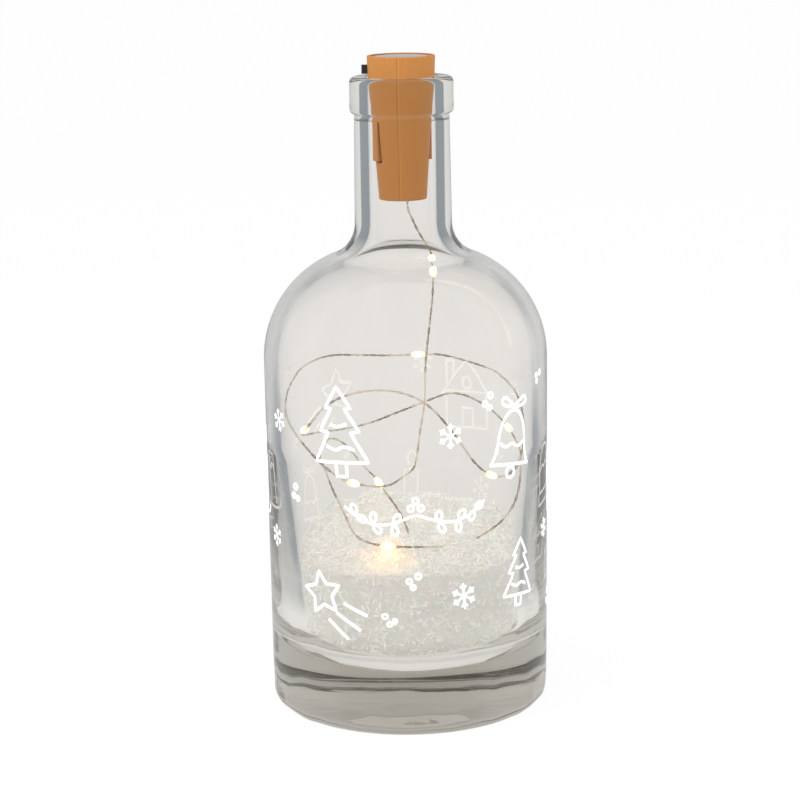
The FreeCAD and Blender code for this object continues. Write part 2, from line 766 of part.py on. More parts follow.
def make_switch():
    half = dim.can_width / 2
    wall = dim.can_wall
    shell = make_box("Can", -can_front, can_back, -half, half, can_low, can_high)
    room = make_box(
        "CanRoom",
        -can_front + wall,
        can_back + dim.overrun,
        -half + wall,
        half - wall,
        can_low + wall,
        can_high - wall,
    )
    folded = cut_from("CanShell", shell, room)
    half_slot = dim.stem_width / 2 + dim.knob_travel / 2 + dim.slide_gap
    half_tall = dim.stem_width / 2 + dim.slide_gap
    slot = make_box(
        "CanSlot",
        -can_front - dim.overrun,
        -can_front + wall + dim.overrun / 4,
        -half_slot,
        half_slot,
        knob_level - half_tall,
        knob_level + half_tall,
    )
    keep(cut_from("CanDone", folded, slot), "switch_can", seated=True)

    base = make_box(
        "SwitchBase",
        can_back - dim.base_wall,
        can_back,
        -half + wall,
        half - wall,
        can_low + wall,
        can_high - wall,
    )
    keep(base, "switch_base", seated=True, above=can_low + wall)

    body = new_body("Terminals")
    body.AllowCompound = True
    level = knob_level
    thin = dim.terminal_wall / 2
    arm = [
        (can_back, level + thin),
        (terminal_x + thin, level + thin),
        (terminal_x + thin, board_height - dim.terminal_drop),
        (terminal_x - thin, board_height - dim.terminal_drop),
        (terminal_x - thin, level - thin),
        (can_back, level - thin),
    ]
    start = dim.terminal_pitch - dim.terminal_width / 2
    first = pad(body, "Terminal", "XZ_Plane", arm, dim.terminal_width, start)
    repeat(body, "Terminal_row", first, "N_Axis", dim.terminal_pitch * 2, 3)
    body.Tip.Reversed = True
    keep(body, "switch_terminals", seated=True)

    slider_back = -can_front + wall + dim.slide_gap
    carriage = make_box(
        "Carriage",
        slider_back,
        slider_back + dim.carriage_depth,
        knob_at - dim.carriage_width / 2,
        knob_at + dim.carriage_width / 2,
        can_low + wall + dim.slide_gap,
        can_high - wall - dim.slide_gap,
    )
    stem = make_box(
        "Stem",
        -can_front - dim.stem_reach,
        slider_back + dim.carriage_depth / 2,
        knob_at - dim.stem_width / 2,
        knob_at + dim.stem_width / 2,
        knob_level - dim.stem_width / 2,
        knob_level + dim.stem_width / 2,
    )
    slider = doc.addObject("Part::Fuse", "Slider")
    slider.Base = carriage
    slider.Tool = stem
    keep(slider, "switch_slider", seated=True)

    wiper_at = slider_back + dim.carriage_depth
    wiper = make_box(
        "Wiper",
        wiper_at,
        wiper_at + dim.wiper_wall,
        knob_at - dim.carriage_width / 2,
        knob_at + dim.carriage_width / 2,
        knob_level - dim.stem_width / 2,
        knob_level + dim.stem_width / 2,
    )
    keep(wiper, "switch_wiper", seated=True, above=knob_level - dim.stem_width / 2)

    knob = new_body("Knob")
    grip = dim.knob_gap / 2
    top_view = [
        (-knob_root, knob_at - dim.knob_width / 2),
        (-knob_root, knob_at + dim.knob_width / 2),
        (-knob_reach + grip, knob_at + dim.knob_width / 2),
        (-knob_reach, knob_at + dim.knob_width / 2 - grip),
        (-knob_reach, knob_at - dim.knob_width / 2 + grip),
        (-knob_reach + grip, knob_at - dim.knob_width / 2),
    ]
    pad(knob, "Knob_block", "XY_Plane", top_view, dim.knob_height, knob_level - dim.knob_height / 2)
    socket = rectangle(
        knob_at - dim.stem_width / 2,
        knob_at + dim.stem_width / 2,
        knob_level - dim.stem_width / 2,
        knob_level + dim.stem_width / 2,
    )
    deep = can_front + dim.stem_reach
    pocket(knob, "Knob_socket", "YZ_Plane", socket, deep)
    keep(knob, "switch_knob", seated=True)


# Battery


def make_battery():
    cell = new_body("Cell")
    neck_low = cell_top - dim.cell_round * 4
    corners = [
        (ZERO, dim.cell_bottom),
        (dim.cell_radius - dim.cell_round, dim.cell_bottom, dim.cell_round, -1),
        (dim.cell_radius, dim.cell_bottom + dim.cell_round),
        (dim.cell_radius, neck_low),
        (dim.cell_radius - dim.cell_round / 2, neck_low + dim.cell_round / 2),
        (dim.cell_radius, neck_low + dim.cell_round),
        (dim.cell_radius, cell_top - dim.cell_round - dim.washer_wall, dim.cell_round, -1),
        (dim.cell_radius - dim.cell_round, cell_top - dim.washer_wall),
        (ZERO, cell_top - dim.washer_wall),
    ]
    revolve(cell, "Cell_can", corners)
    keep(cell, "battery_cell", seated=True)

    cap = new_body("Cap")
    corners = [
        (ZERO, cell_top - dim.washer_wall),
        (dim.cap_radius, cell_top - dim.washer_wall),
        (dim.cap_radius, cell_top + dim.cap_rise - dim.cell_round / 2, dim.cell_round / 2, -1),
        (dim.cap_radius - dim.cell_round / 2, cell_top + dim.cap_rise),
        (ZERO, cell_top + dim.cap_rise),
    ]
    revolve(cap, "Cap_button", corners)
    keep(cap, "battery_cap", seated=True)

    washer = new_body("Washer")
    corners = rectangle(
        dim.cap_radius + dim.cradle_gap,
        dim.cell_radius - dim.cell_round,
        cell_top - dim.washer_wall,
        cell_top,
    )
    revolve(washer, "Washer_ring", corners)
    keep(washer, "battery_washer", seated=True)

    sleeve = new_body("Sleeve")
    wall = dim.sleeve_wall
    corners = [
        (dim.cell_radius - dim.sleeve_fold, dim.cell_bottom - wall),
        (cell_outer, dim.cell_bottom - wall),
        (cell_outer, cell_top + wall),
        (dim.cell_radius - dim.sleeve_fold, cell_top + wall),
        (dim.cell_radius - dim.sleeve_fold, cell_top),
        (dim.cell_radius, cell_top),
        (dim.cell_radius, dim.cell_bottom),
        (dim.cell_radius - dim.sleeve_fold, dim.cell_bottom),
    ]
    revolve(sleeve, "Sleeve_skin", corners)
    keep(sleeve, "battery_sleeve", seated=True)

    half = dim.tab_width / 2
    for label, low in (
        ("battery_tab_negative", dim.cell_bottom - dim.tab_wall),
        ("battery_tab_positive", cell_top + dim.cap_rise),
    ):
        tab = make_box(
            label.title().replace("_", ""),
            -half,
            half,
            -dim.tab_length / 2,
            dim.tab_length / 2,
            low,
            low + dim.tab_wall,
        )
        keep(tab, label, seated=True, above=low)


# Wires: each is a tube of straight runs joined by tangent arcs along points chosen by hand

RUN_SHARE = 0.45


def arc_radius(before, at, after):
    short = min((at - before).Length, (after - at).Length)
    turn = (at - before).getAngle(after - at)
    return RUN_SHARE * short / math.tan(turn / 2), RUN_SHARE * short


def tube(points, radius, name):
    """Sweep a round section along the points, and print the smallest bend and how well the volume fits."""
    points = [FreeCAD.Vector(*point) for point in points]
    edges = []
    last = points[0]
    bends = []
    for before, at, after in zip(points, points[1:], points[2:]):
        bend, back = arc_radius(before, at, after)
        bends.append(bend)
        into = (at - before).normalize()
        out = (after - at).normalize()
        start = at - into * back
        end = at + out * back
        inward = (out - into).normalize()
        centre = at + inward * math.hypot(bend, back)
        middle = centre - inward * bend
        edges.append(Part.LineSegment(last, start).toShape())
        edges.append(Part.Arc(start, middle, end).toShape())
        last = end
    edges.append(Part.LineSegment(last, points[-1]).toShape())
    path = Part.Wire(edges)
    ring = Part.Circle(points[0], points[1] - points[0], radius)
    solid = path.makePipeShell([Part.Wire(ring.toShape())], True, False)
    expected = math.pi * radius**2 * path.Length
    smallest = min(bends) if bends else 0
    print(
        f"{name}: {path.Length:.1f} mm long, smallest bend {smallest:.1f} mm,"
        f" volume {solid.Volume / expected:.4f} of section times length"
    )
    return solid


def shape_piece(label, shapes, seated=False):
    """A piece whose shape comes from Part's functions, where no sketch or primitive fits."""
    feature = doc.addObject("Part::Feature", label.title().replace("_", ""))
    feature.Shape = shapes[0] if len(shapes) == 1 else Part.makeCompound(shapes)
    return keep(feature, label, seated)


STRING_EXIT = (1.8, -5.5)
KNOT = (0.5, -7.5, 76.0)

# The first stretch hangs from the plug to the knot, where the loops begin
DROP_ROUTE = [
    (*STRING_EXIT, 166.6),
    (1.9, -5.4, 163.8),
    (3.4, -4.7, 160.0),
    (6.0, -2.6, 153.6),
    (9.0, 0.1, 147.6),
    (9.4, 1.1, 139.8),
    (8.3, -1.3, 127.0),
    (7.3, -2.4, 119.0),
    (6.6, -3.4, 110.9),
    (6.6, -4.4, 101.2),
    (4.9, -5.6, 91.5),
    (3.8, -5.7, 83.1),
    (2.5, -5.8, 77.4),
    KNOT,
]

LOOP_ROUTE = [
    KNOT,
    (-1.5, -9.2, 74.6),
    (-3.6, -14.0, 74.2),
    (-7.0, -21.2, 75.6),
    (-10.5, -27.5, 78.0),
    (-16.7, -33.1, 81.4),
    (-23.0, -32.5, 87.0),
    (-30.0, -26.0, 93.0),
    (-35.8, -17.5, 99.0),
    (-38.6, -8.0, 102.5),
    (-39.4, 2.0, 105.5),
    (-37.0, 13.5, 108.5),
    (-30.4, 24.5, 110.5),
    (-19.2, 32.0, 109.0),
    (-6.5, 36.3, 107.8),
    (7.7, 38.1, 108.6),
    (19.0, 34.0, 106.2),
    (29.5, 25.5, 104.5),
    (36.0, 14.0, 101.5),
    (38.0, 3.0, 97.5),
    (38.0, -8.0, 91.5),
    (36.2, -16.0, 82.5),
    (31.4, -23.4, 80.0),
    (25.0, -31.2, 84.8),
    (18.1, -33.5, 97.0),
    (10.0, -32.3, 106.6),
    (1.5, -32.0, 110.4),
    (-8.0, -31.5, 110.6),
    (-16.0, -30.0, 108.5),
    (-22.5, -28.3, 104.5),
    (-26.6, -25.4, 98.6),
    (-32.6, -15.8, 91.8),
    (-30.0, -4.5, 90.5),
    (-23.0, 8.0, 88.8),
    (-14.4, 18.3, 88.6),
    (-4.6, 23.6, 91.6),
    (4.5, 25.6, 95.0),
    (13.0, 28.6, 97.8),
    (22.5, 26.0, 95.5),
    (31.0, 17.0, 91.0),
    (35.6, 6.6, 86.8),
    (38.2, -2.5, 81.0),
    (36.4, -11.0, 72.0),
    (32.6, -11.6, 63.9),
    (27.0, -8.5, 57.8),
    (18.5, -12.0, 53.8),
    (9.5, -19.0, 55.6),
    (1.4, -25.2, 57.4),
    (-8.6, -28.0, 59.0),
    (-14.6, -24.6, 61.0),
    (-18.3, -16.0, 64.5),
    (-24.3, -4.5, 68.8),
    (-28.5, 4.5, 73.0),
    (-31.8, 11.5, 79.0),
    (-29.6, 18.3, 84.3),
    (-23.5, 20.3, 81.5),
    (-18.0, 17.5, 75.5),
    (-13.6, 13.6, 69.8),
    (-8.0, 7.8, 64.8),
    (-2.0, 1.0, 59.5),
    (1.5, -6.0, 53.5),
    (0.5, -11.5, 49.5),
    (-4.0, -15.0, 47.6),
    (-10.2, -23.2, 45.6),
]


def hung(route):
    """The hanging route, stretched so that it starts at the tip of the plug."""
    top = route[0][2]
    knot = route[-1][2]
    stretch = (plug_seat.value - knot) / (top - knot)
    return [(x, y, knot + (z - knot) * stretch) for x, y, z in route]


def lamp_parts(route, run, radius, length, chip_length, chip_width):
    """The resin bead, a round-ended drop along the string, and the lamp chip inside it."""
    here = FreeCAD.Vector(*route[run])
    there = FreeCAD.Vector(*route[run + 1])
    turn = FreeCAD.Rotation(FreeCAD.Vector(0, 0, 1), there - here)
    place = FreeCAD.Placement((here + there) / 2, turn)
    half = length / 2
    slant = radius * math.sqrt(0.5)
    low = FreeCAD.Vector(0, 0, -half)
    low_side = FreeCAD.Vector(radius, 0, radius - half)
    high_side = FreeCAD.Vector(radius, 0, half - radius)
    high = FreeCAD.Vector(0, 0, half)
    low_arc = Part.Arc(low, FreeCAD.Vector(slant, 0, radius - half - slant), low_side)
    high_arc = Part.Arc(high_side, FreeCAD.Vector(slant, 0, half - radius + slant), high)
    side = Part.LineSegment(low_side, high_side)
    spine = Part.LineSegment(high, low)
    face = Part.Face(Part.Wire([edge.toShape() for edge in (low_arc, side, high_arc, spine)]))
    bead = face.revolve(FreeCAD.Vector(), FreeCAD.Vector(0, 0, 1), 360)
    chip = Part.makeBox(
        chip_width,
        chip_width,
        chip_length,
        FreeCAD.Vector(-chip_width / 2, -chip_width / 2, -chip_length / 2),
    )
    bead.Placement = place
    chip.Placement = place
    return bead, chip


def make_string():
    sizes = (
        dim.drop_radius.value,
        dim.drop_length.value,
        dim.chip_lamp_length.value,
        dim.chip_lamp_width.value,
    )
    wire = dim.wire_radius.value
    shape_piece("string_drop", [tube(hung(DROP_ROUTE), wire, "string_drop")])
    bead, chip = lamp_parts(hung(DROP_ROUTE), 4, *sizes)
    shape_piece("top_lamp_bead", [bead])
    shape_piece("top_lamp_chip", [chip])
    shape_piece("string_loops", [tube(LOOP_ROUTE, wire, "string_loops")])
    # A lamp sits in the middle of each of these runs of the loops
    lamps = [lamp_parts(LOOP_ROUTE, run, *sizes) for run in (4, 14, 22, 30, 39, 47, 57, 62)]
    shape_piece("loop_lamp_beads", [bead for bead, chip in lamps])
    shape_piece("loop_lamp_chips", [chip for bead, chip in lamps])

    exit_x, exit_y = STRING_EXIT
    tail = [
        (*STRING_EXIT, ZERO.value),
        (*STRING_EXIT, 6.5),
        (1.5, -5.7, 16.0),
        (1.9, -5.6, 28.0),
        (1.6, -5.5, board_height.value),
    ]
    shape_piece("string_tail", [tube(tail, wire, "string_tail")], seated=True)

    glue = doc.addObject("Part::Cone", "Glue")
    bind(glue, "Radius1", dim.glue_radius)
    bind(glue, "Radius2", dim.glue_radius / 2)
    bind(glue, "Height", dim.glue_rise)
    string_way = doc.addObject("Part::Cylinder", "StringWay")
    bind(string_way, "Radius", dim.wire_radius)
    bind(string_way, "Height", dim.glue_rise + dim.overrun)
    for item in (glue, string_way):
        bind(item, "Placement.Base.x", sized(exit_x))
        bind(item, "Placement.Base.y", sized(exit_y))
        bind(item, "Placement.Base.z", dim.plug_floor)
    keep(cut_from("GlueBlob", glue, string_way), "glue_blob", seated=True)


def make_leads():
    """Insulated leads inside the plug, from tab to board and from the solar disc to the board."""
    thick = dim.lead_radius.value
    under = dim.cell_bottom.value - dim.tab_wall.value
    over = cell_top.value + dim.cap_rise.value + dim.tab_wall.value
    below = board_height.value
    above = board_top.value
    panel = panel_height.value
    bend = dim.lead_bend.value
    routes = {
        "battery_lead_black": [
            (0.5, 1.8, under),
            (0.5, 1.8, 2.15),
            (1.75, 5.5, 2.4),
            (1.75, 5.5, 7.5),
            (1.5, 5.75, 15.5),
            (1.9, 5.6, 25.5),
            (1.6, 5.5, 32.5),
            (2.2, 5.2, below),
        ],
        "battery_lead_red": [
            (0.0, 2.6, over),
            (0.0, 2.6, over + (below - over) * 0.3),
            (-1.0, 4.0, over + (below - over) * 0.6),
            (-1.0, 4.0, below),
        ],
        "solar_lead_red": [
            (3.0, 3.4, above),
            (3.0, 3.4, above + bend),
            (4.0, 4.2, panel - bend),
            (4.0, 4.2, panel),
        ],
        "solar_lead_black": [
            (3.0, -3.4, above),
            (3.0, -3.4, above + bend),
            (4.0, -4.2, panel - bend),
            (4.0, -4.2, panel),
        ],
    }
    for label, route in routes.items():
        shape_piece(label, [tube(route, thick, label)], seated=True)


make_glass_bottle()
make_snow()
make_casing_half("SwitchHalf", "casing_switch_side", -1)
make_casing_half("PlainHalf", "casing_plain_side", 1)
make_solar_disc()
make_board()
make_chip()
make_choke()
make_switch()
make_battery()
make_string()
make_leads()
doc.recompute()

for thing in doc.Objects:
    if {"Invalid", "Error"} & set(thing.State):
        raise RuntimeError(f"{thing.Name} failed: {thing.State}")
for piece in pieces:
    if piece.Shape.isNull() or not piece.Shape.isValid() or not piece.Shape.Solids:
        raise RuntimeError(f"{piece.Label} has no valid solid")

os.makedirs("parts", exist_ok=True)
for piece in pieces:
    piece.Shape.exportStep(os.path.join("parts", piece.Label + ".step"))
    box = piece.Shape.BoundBox
    count, volume = len(piece.Shape.Solids), piece.Shape.Volume
    print(f"{piece.Label}: {count} solids, {volume:.1f} mm3, top {box.ZMax:.1f}")
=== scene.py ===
# %% [markdown]
# # A bottle light with a cork-coloured lamp plug
# The part is a clear, thick-walled bottle. A moulded plug with a battery sits in its mouth, and a thin
# string of small lamps hangs from the plug and lies in loops over artificial snow. All the rigid pieces
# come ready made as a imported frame. This lesson adds what the frame can't hold: clear glass, wound wire,
# loose snow, the printed figures, and a finish for every piece.

# %% Load the frame
import math
import random

import bmesh
import bpy
from mathutils import Matrix, Vector, noise


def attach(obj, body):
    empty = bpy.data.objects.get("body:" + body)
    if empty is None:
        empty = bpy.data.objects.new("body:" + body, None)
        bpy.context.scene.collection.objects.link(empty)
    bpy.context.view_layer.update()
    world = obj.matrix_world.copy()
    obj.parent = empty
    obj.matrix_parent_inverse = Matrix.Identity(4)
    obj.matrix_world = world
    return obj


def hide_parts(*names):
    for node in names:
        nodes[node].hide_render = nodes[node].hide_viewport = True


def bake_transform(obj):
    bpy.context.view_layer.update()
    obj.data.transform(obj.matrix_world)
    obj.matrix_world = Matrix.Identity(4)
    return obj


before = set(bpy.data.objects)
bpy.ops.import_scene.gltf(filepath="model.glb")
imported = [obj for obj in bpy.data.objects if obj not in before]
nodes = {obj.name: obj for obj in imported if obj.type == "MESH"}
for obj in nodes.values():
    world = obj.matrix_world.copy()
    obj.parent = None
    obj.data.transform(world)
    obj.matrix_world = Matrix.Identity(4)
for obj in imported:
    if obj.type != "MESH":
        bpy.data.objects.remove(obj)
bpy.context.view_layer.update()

MM = 0.001

# %% [markdown]
# ## The camera
# The photograph was taken with a long lens from about 0.8 m, a little above the bottle. The view was
# measured on the bottle's outline: where the camera stands, how far it looks down, a small roll, and the
# focal length in pixels of a square picture of 800. Turning those numbers into a camera by hand keeps the
# render and the photograph in step, which a guess by eye never does.

# %% Camera
CAMERA_AT = (79.31, -773.72, 268.50)
AROUND = math.radians(6)
PITCH = math.radians(12.207)
ROLL = math.radians(-0.917)
FOCAL_PIXELS = 2436.26
PICTURE = 800


def link(name, data):
    """Put new data into the scene as an object at the origin."""
    thing = bpy.data.objects.new(name, data)
    bpy.context.scene.collection.objects.link(thing)
    return thing


eye = bpy.data.cameras.new("eye")
eye.sensor_width = 36
eye.lens = FOCAL_PIXELS / PICTURE * eye.sensor_width
eye.clip_start = 0.01
camera = link("camera", eye)
stand = Matrix.Translation([part * MM for part in CAMERA_AT])
aim = Matrix.Rotation(AROUND, 4, "Z") @ Matrix.Rotation(math.pi / 2 - PITCH, 4, "X")
camera.matrix_world = stand @ aim @ Matrix.Rotation(ROLL, 4, "Z")
bpy.context.scene.camera = camera
print("lens:", round(eye.lens, 2), "mm")

# %% [markdown]
# ## The lamp string
# Two lacquered wires, each a third of a millimetre thick, are twisted into one limp string. Its route is
# a short list of points, which a quadratic NURBS curve rounds off: the curve passes through the middle of
# every run, so that is where the lamps go. The first stretch hangs from the plug to the place where the
# loops begin, and the second lies in loops in the bottle and ends in the snow.

# %% Routes of the string in millimetres, and the runs that carry a lamp
DROP_ROUTE = [
    (1.8, -5.5, 166.6), (1.9, -5.4, 163.8), (3.4, -4.7, 160), (6, -2.6, 153.6), (9, 0.1, 147.6),
    (9.4, 1.1, 139.8), (8.3, -1.3, 127), (7.3, -2.4, 119), (6.6, -3.4, 110.9), (6.6, -4.4, 101.2),
    (4.9, -5.6, 91.5), (3.8, -5.7, 83.1), (2.5, -5.8, 77.4), (0.5, -7.5, 76),
]
DROP_LAMPS = [4]
LOOP_ROUTE = [
    (0.5, -7.5, 76), (-1.5, -9.2, 74.6), (-3.6, -14, 74.2), (-7, -21.2, 75.6), (-10.5, -27.5, 78),
    (-16.7, -33.1, 81.4), (-23, -32.5, 87), (-30, -26, 93), (-35.8, -17.5, 99),
    (-38.6, -8, 102.5), (-39.4, 2, 105.5), (-37, 13.5, 108.5), (-30.4, 24.5, 110.5),
    (-19.2, 32, 109), (-6.5, 36.3, 107.8), (7.7, 38.1, 108.6), (19, 34, 106.2),
    (29.5, 25.5, 104.5), (36, 14, 101.5), (38, 3, 97.5), (38, -8, 91.5), (36.2, -16, 82.5),
    (31.4, -23.4, 80), (25, -31.2, 84.8), (18.1, -33.5, 97), (10, -32.3, 106.6),
    (1.5, -32, 110.4), (-8, -31.5, 110.6), (-16, -30, 108.5), (-22.5, -28.3, 104.5),
    (-26.6, -25.4, 98.6), (-32.6, -15.8, 91.8), (-30, -4.5, 90.5), (-23, 8, 88.8),
    (-14.4, 18.3, 88.6), (-4.6, 23.6, 91.6), (4.5, 25.6, 95), (13, 28.6, 97.8), (22.5, 26, 95.5),
    (31, 17, 91), (35.6, 6.6, 86.8), (38.2, -2.5, 81), (36.4, -11, 72), (32.6, -11.6, 63.9),
    (27, -8.5, 57.8), (18.5, -12, 53.8), (9.5, -19, 55.6), (1.4, -25.2, 57.4), (-8.6, -28, 59),
    (-14.6, -24.6, 61), (-18.3, -16, 64.5), (-24.3, -4.5, 68.8), (-28.5, 4.5, 73),
    (-31.8, 11.5, 79), (-29.6, 18.3, 84.3), (-23.5, 20.3, 81.5), (-18, 17.5, 75.5),
    (-13.6, 13.6, 69.8), (-8, 7.8, 64.8), (-2, 1, 59.5), (1.5, -6, 53.5), (0.5, -11.5, 49.5),
    (-4, -15, 47.6), (-10.2, -23.2, 45.6),
]
LOOP_LAMPS = [4, 14, 22, 30, 39, 47, 57, 62]


# %% Centre lines
def mesh_of(curve_data, name):
    """The mesh that Blender makes of a curve, as data of its own."""
    carrier = link(name + "_carrier", curve_data)
    bpy.context.view_layer.update()
    made = bpy.data.meshes.new_from_object(carrier.evaluated_get(bpy.context.evaluated_depsgraph_get()))
    bpy.data.objects.remove(carrier)
    return made


def new_curve(name, bevel=0.0):
    """Curve data in space. A bevel gives it a round section of that radius, closed at its ends."""
    data = bpy.data.curves.new(name, "CURVE")
    data.dimensions = "3D"
    if bevel:
        data.bevel_depth = bevel
        data.bevel_resolution = 1
        data.use_fill_caps = True
    return data


def centre_line(route, name):
    """Points along the smooth line that a route gives, and the line's length."""
    data = new_curve(name)
    data.resolution_u = 24
    spline = data.splines.new("NURBS")
    spline.points.add(len(route) - 1)
    for point, place in zip(spline.points, route):
        point.co = (*(Vector(place) * MM), 1)
    spline.use_endpoint_u = True
    spline.order_u = 3
    line = [vertex.co.copy() for vertex in mesh_of(data, name).vertices]
    length = sum((b - a).length for a, b in zip(line, line[1:]))
    print(name, "line:", len(line), "points,", round(length / MM, 1), "mm")
    return line, length


drop_line, drop_length = centre_line(DROP_ROUTE, "string_drop")
loop_line, loop_length = centre_line(LOOP_ROUTE, "string_loops")

# %% [markdown]
# The two strands turn round the centre line like a helix. Each point of the line needs a side direction
# that doesn't spin by itself: it is carried from point to point and only straightened against the new
# tangent. A strand is then a poly curve with a small bevel, which Blender turns into a tube.

# %% Twist two strands round a line
STRAND_RADIUS = 0.17 * MM
STRAND_OFFSET = 0.23 * MM
TWIST_PITCH = 6.5 * MM


def carried_frames(line):
    """For each point: the place, two side directions that don't spin, and the way travelled so far."""
    side = Vector((1, 0, 0))
    travelled = 0.0
    frames = []
    for number, here in enumerate(line):
        ahead = line[min(number + 1, len(line) - 1)]
        behind = line[max(number - 1, 0)]
        tangent = (ahead - behind).normalized()
        side = (side - tangent * side.dot(tangent)).normalized()
        frames.append((here, side.copy(), tangent.cross(side), travelled))
        travelled += (ahead - here).length
    return frames


def strands(line, name):
    """Two wires twisted round the line, as one mesh piece."""
    data = new_curve(name, STRAND_RADIUS)
    frames = carried_frames(line)
    for start in (0.0, math.pi):
        spline = data.splines.new("POLY")
        spline.points.add(len(frames) - 1)
        for point, (here, across, up, distance) in zip(spline.points, frames):
            turn = start + 2 * math.pi * distance / TWIST_PITCH
            place = here + (across * math.cos(turn) + up * math.sin(turn)) * STRAND_OFFSET
            point.co = (*place, 1)
    mesh = mesh_of(data, name)
    for face in mesh.polygons:
        face.use_smooth = True
    print(name, "faces:", len(mesh.polygons))
    return link(name, mesh)


drop_wire = strands(drop_line, "hanging_string")
loop_wire = strands(loop_line, "looped_string")

# %% [markdown]
# Each lamp is a chip the size of a grain of salt, soldered between the two wires and sealed in a drop of
# clear resin. The drop is a ball pulled long, slimmer at its ends where the resin creeps along the wires.
# A UV sphere gives it poles where the wires go in, and moving its rings gives the taper. A mark on every
# point says how far it lies from the chip, so that the glow can fade towards the ends.

# %% Resin drops and lamp chips
DROP_RADIUS = 1.2 * MM
DROP_HALF = 2.7 * MM
DROP_FLATNESS = 0.92
DROP_TAPER = 0.35


def lamp_places(route, runs):
    """Where each lamp sits and which way it lies: in the middle of its run, along it."""
    places = []
    for run in runs:
        here, there = Vector(route[run]) * MM, Vector(route[run + 1]) * MM
        turn = (there - here).to_track_quat("Z", "Y").to_matrix().to_4x4()
        places.append(Matrix.Translation((here + there) / 2) @ turn)
    return places


def mesh_from(bm, name, smooth=True, keep=False):
    """Write a bmesh to mesh data and, unless it is still needed, let go of it."""
    for face in bm.faces:
        face.smooth = smooth
    mesh = bpy.data.meshes.new(name)
    bm.to_mesh(mesh)
    if not keep:
        bm.free()
    return mesh


def resin_drops(places, name):
    """All the drops of one stretch of string, as one piece."""
    bm = bmesh.new()
    end_mark = bm.verts.layers.float.new("from_chip")
    for place in places:
        made = bmesh.ops.create_uvsphere(bm, u_segments=20, v_segments=14, radius=1)["verts"]
        for vertex in made:
            height = vertex.co.z
            vertex[end_mark] = abs(height)
            waist = math.sqrt(max(0.0, 1 - height * height)) ** DROP_TAPER
            vertex.co.x *= DROP_RADIUS * waist
            vertex.co.y *= DROP_RADIUS * waist * DROP_FLATNESS
            vertex.co.z = height * DROP_HALF
        bmesh.ops.transform(bm, matrix=place, verts=made)
    bmesh.ops.recalc_face_normals(bm, faces=bm.faces)
    return link(name, mesh_from(bm, name))


drop_places = lamp_places(DROP_ROUTE, DROP_LAMPS)
loop_places = lamp_places(LOOP_ROUTE, LOOP_LAMPS)
top_drop = resin_drops(drop_places, "hanging_lamp_drop")
loop_drops = resin_drops(loop_places, "looped_lamp_drops")
print("lamps:", len(drop_places) + len(loop_places))

# %% [markdown]
# ## The glass
# The bottle is one spun form: its whole section, outside and inside, is drawn once and turned round the
# axis. The section is drawn with a pen made of two bmesh operators: extruding the last vertex gives a
# straight line, and spinning it about a centre gives a true arc. A fine full spin matters more here than on
# any other piece, because glass shows every facet of both its walls.

# %% A pen that draws a section in the XZ plane
class Pen:
    """Draws from point to point, in millimetres."""

    def __init__(self, bm, x, z):
        self.bm = bm
        self.tip = bm.verts.new((x * MM, 0, z * MM))

    def line(self, x, z, parts=1):
        start = self.tip.co.copy()
        end = Vector((x * MM, 0, z * MM))
        for part in range(1, parts + 1):
            made = bmesh.ops.extrude_vert_indiv(self.bm, verts=[self.tip])["verts"][0]
            made.co = start.lerp(end, part / parts)
            self.tip = made

    def arc(self, x, z, degrees, parts):
        """Turn about the centre x, z; positive goes from +Z towards +X."""
        made = bmesh.ops.spin(
            self.bm, geom=[self.tip], cent=(x * MM, 0, z * MM), axis=(0, 1, 0),
            angle=math.radians(degrees), steps=parts,
        )["geom_last"]
        self.tip = next(item for item in made if isinstance(item, bmesh.types.BMVert))


def turned(bm, steps):
    """Spin everything drawn so far once round the Z axis and close the seam."""
    bmesh.ops.spin(
        bm, geom=bm.verts[:] + bm.edges[:], cent=(0, 0, 0), axis=(0, 0, 1),
        angle=2 * math.pi, steps=steps, use_merge=True,
    )
    bmesh.ops.remove_doubles(bm, verts=bm.verts, dist=1e-6)
    bmesh.ops.recalc_face_normals(bm, faces=bm.faces)


# %% The bottle's section and its spin, in millimetres
WALL, WALL_TOP = 46, 115
HEEL_RADIUS, HEEL_CENTRE = 45.5, (40.6, 4.9)
SHOULDER_CENTRE, NECK_FOOT_CENTRE = (10, 115), (26.65, 158.95)
SHOULDER_TURN = 69.25
INNER_WALL, INNER_WALL_FOOT = 41.15, 87
INNER_HEEL, INNER_HEEL_RADIUS, INNER_HEEL_CENTRE = 36.2, 14.0, (22.2, 31.5)

# The hollow under the base, the ring that the bottle stands on, and the rounded heel.
glass = bmesh.new()
pen = Pen(glass, 0, 2.0)
pen.line(18, 1.44, 6)
pen.line(34, 0, 6)
pen.line(40.6, 0, 3)
pen.arc(*HEEL_CENTRE, -90, 10)
# Up the side, over the shoulder and up the neck.
pen.line(WALL, WALL_TOP, 40)
pen.arc(*SHOULDER_CENTRE, -SHOULDER_TURN, 30)
pen.arc(*NECK_FOOT_CENTRE, SHOULDER_TURN, 16)
pen.line(15.2, 193.9, 14)
# Round the lip ring and over its top into the bore.
pen.line(15.7, 193.9)
pen.arc(15.0, 195.5, -44, 5)
pen.line(16.6, 203.7, 5)
pen.arc(14.8, 203.7, -90, 8)
pen.line(11.8, 205.5, 3)
pen.arc(11.8, 204.5, -90, 6)
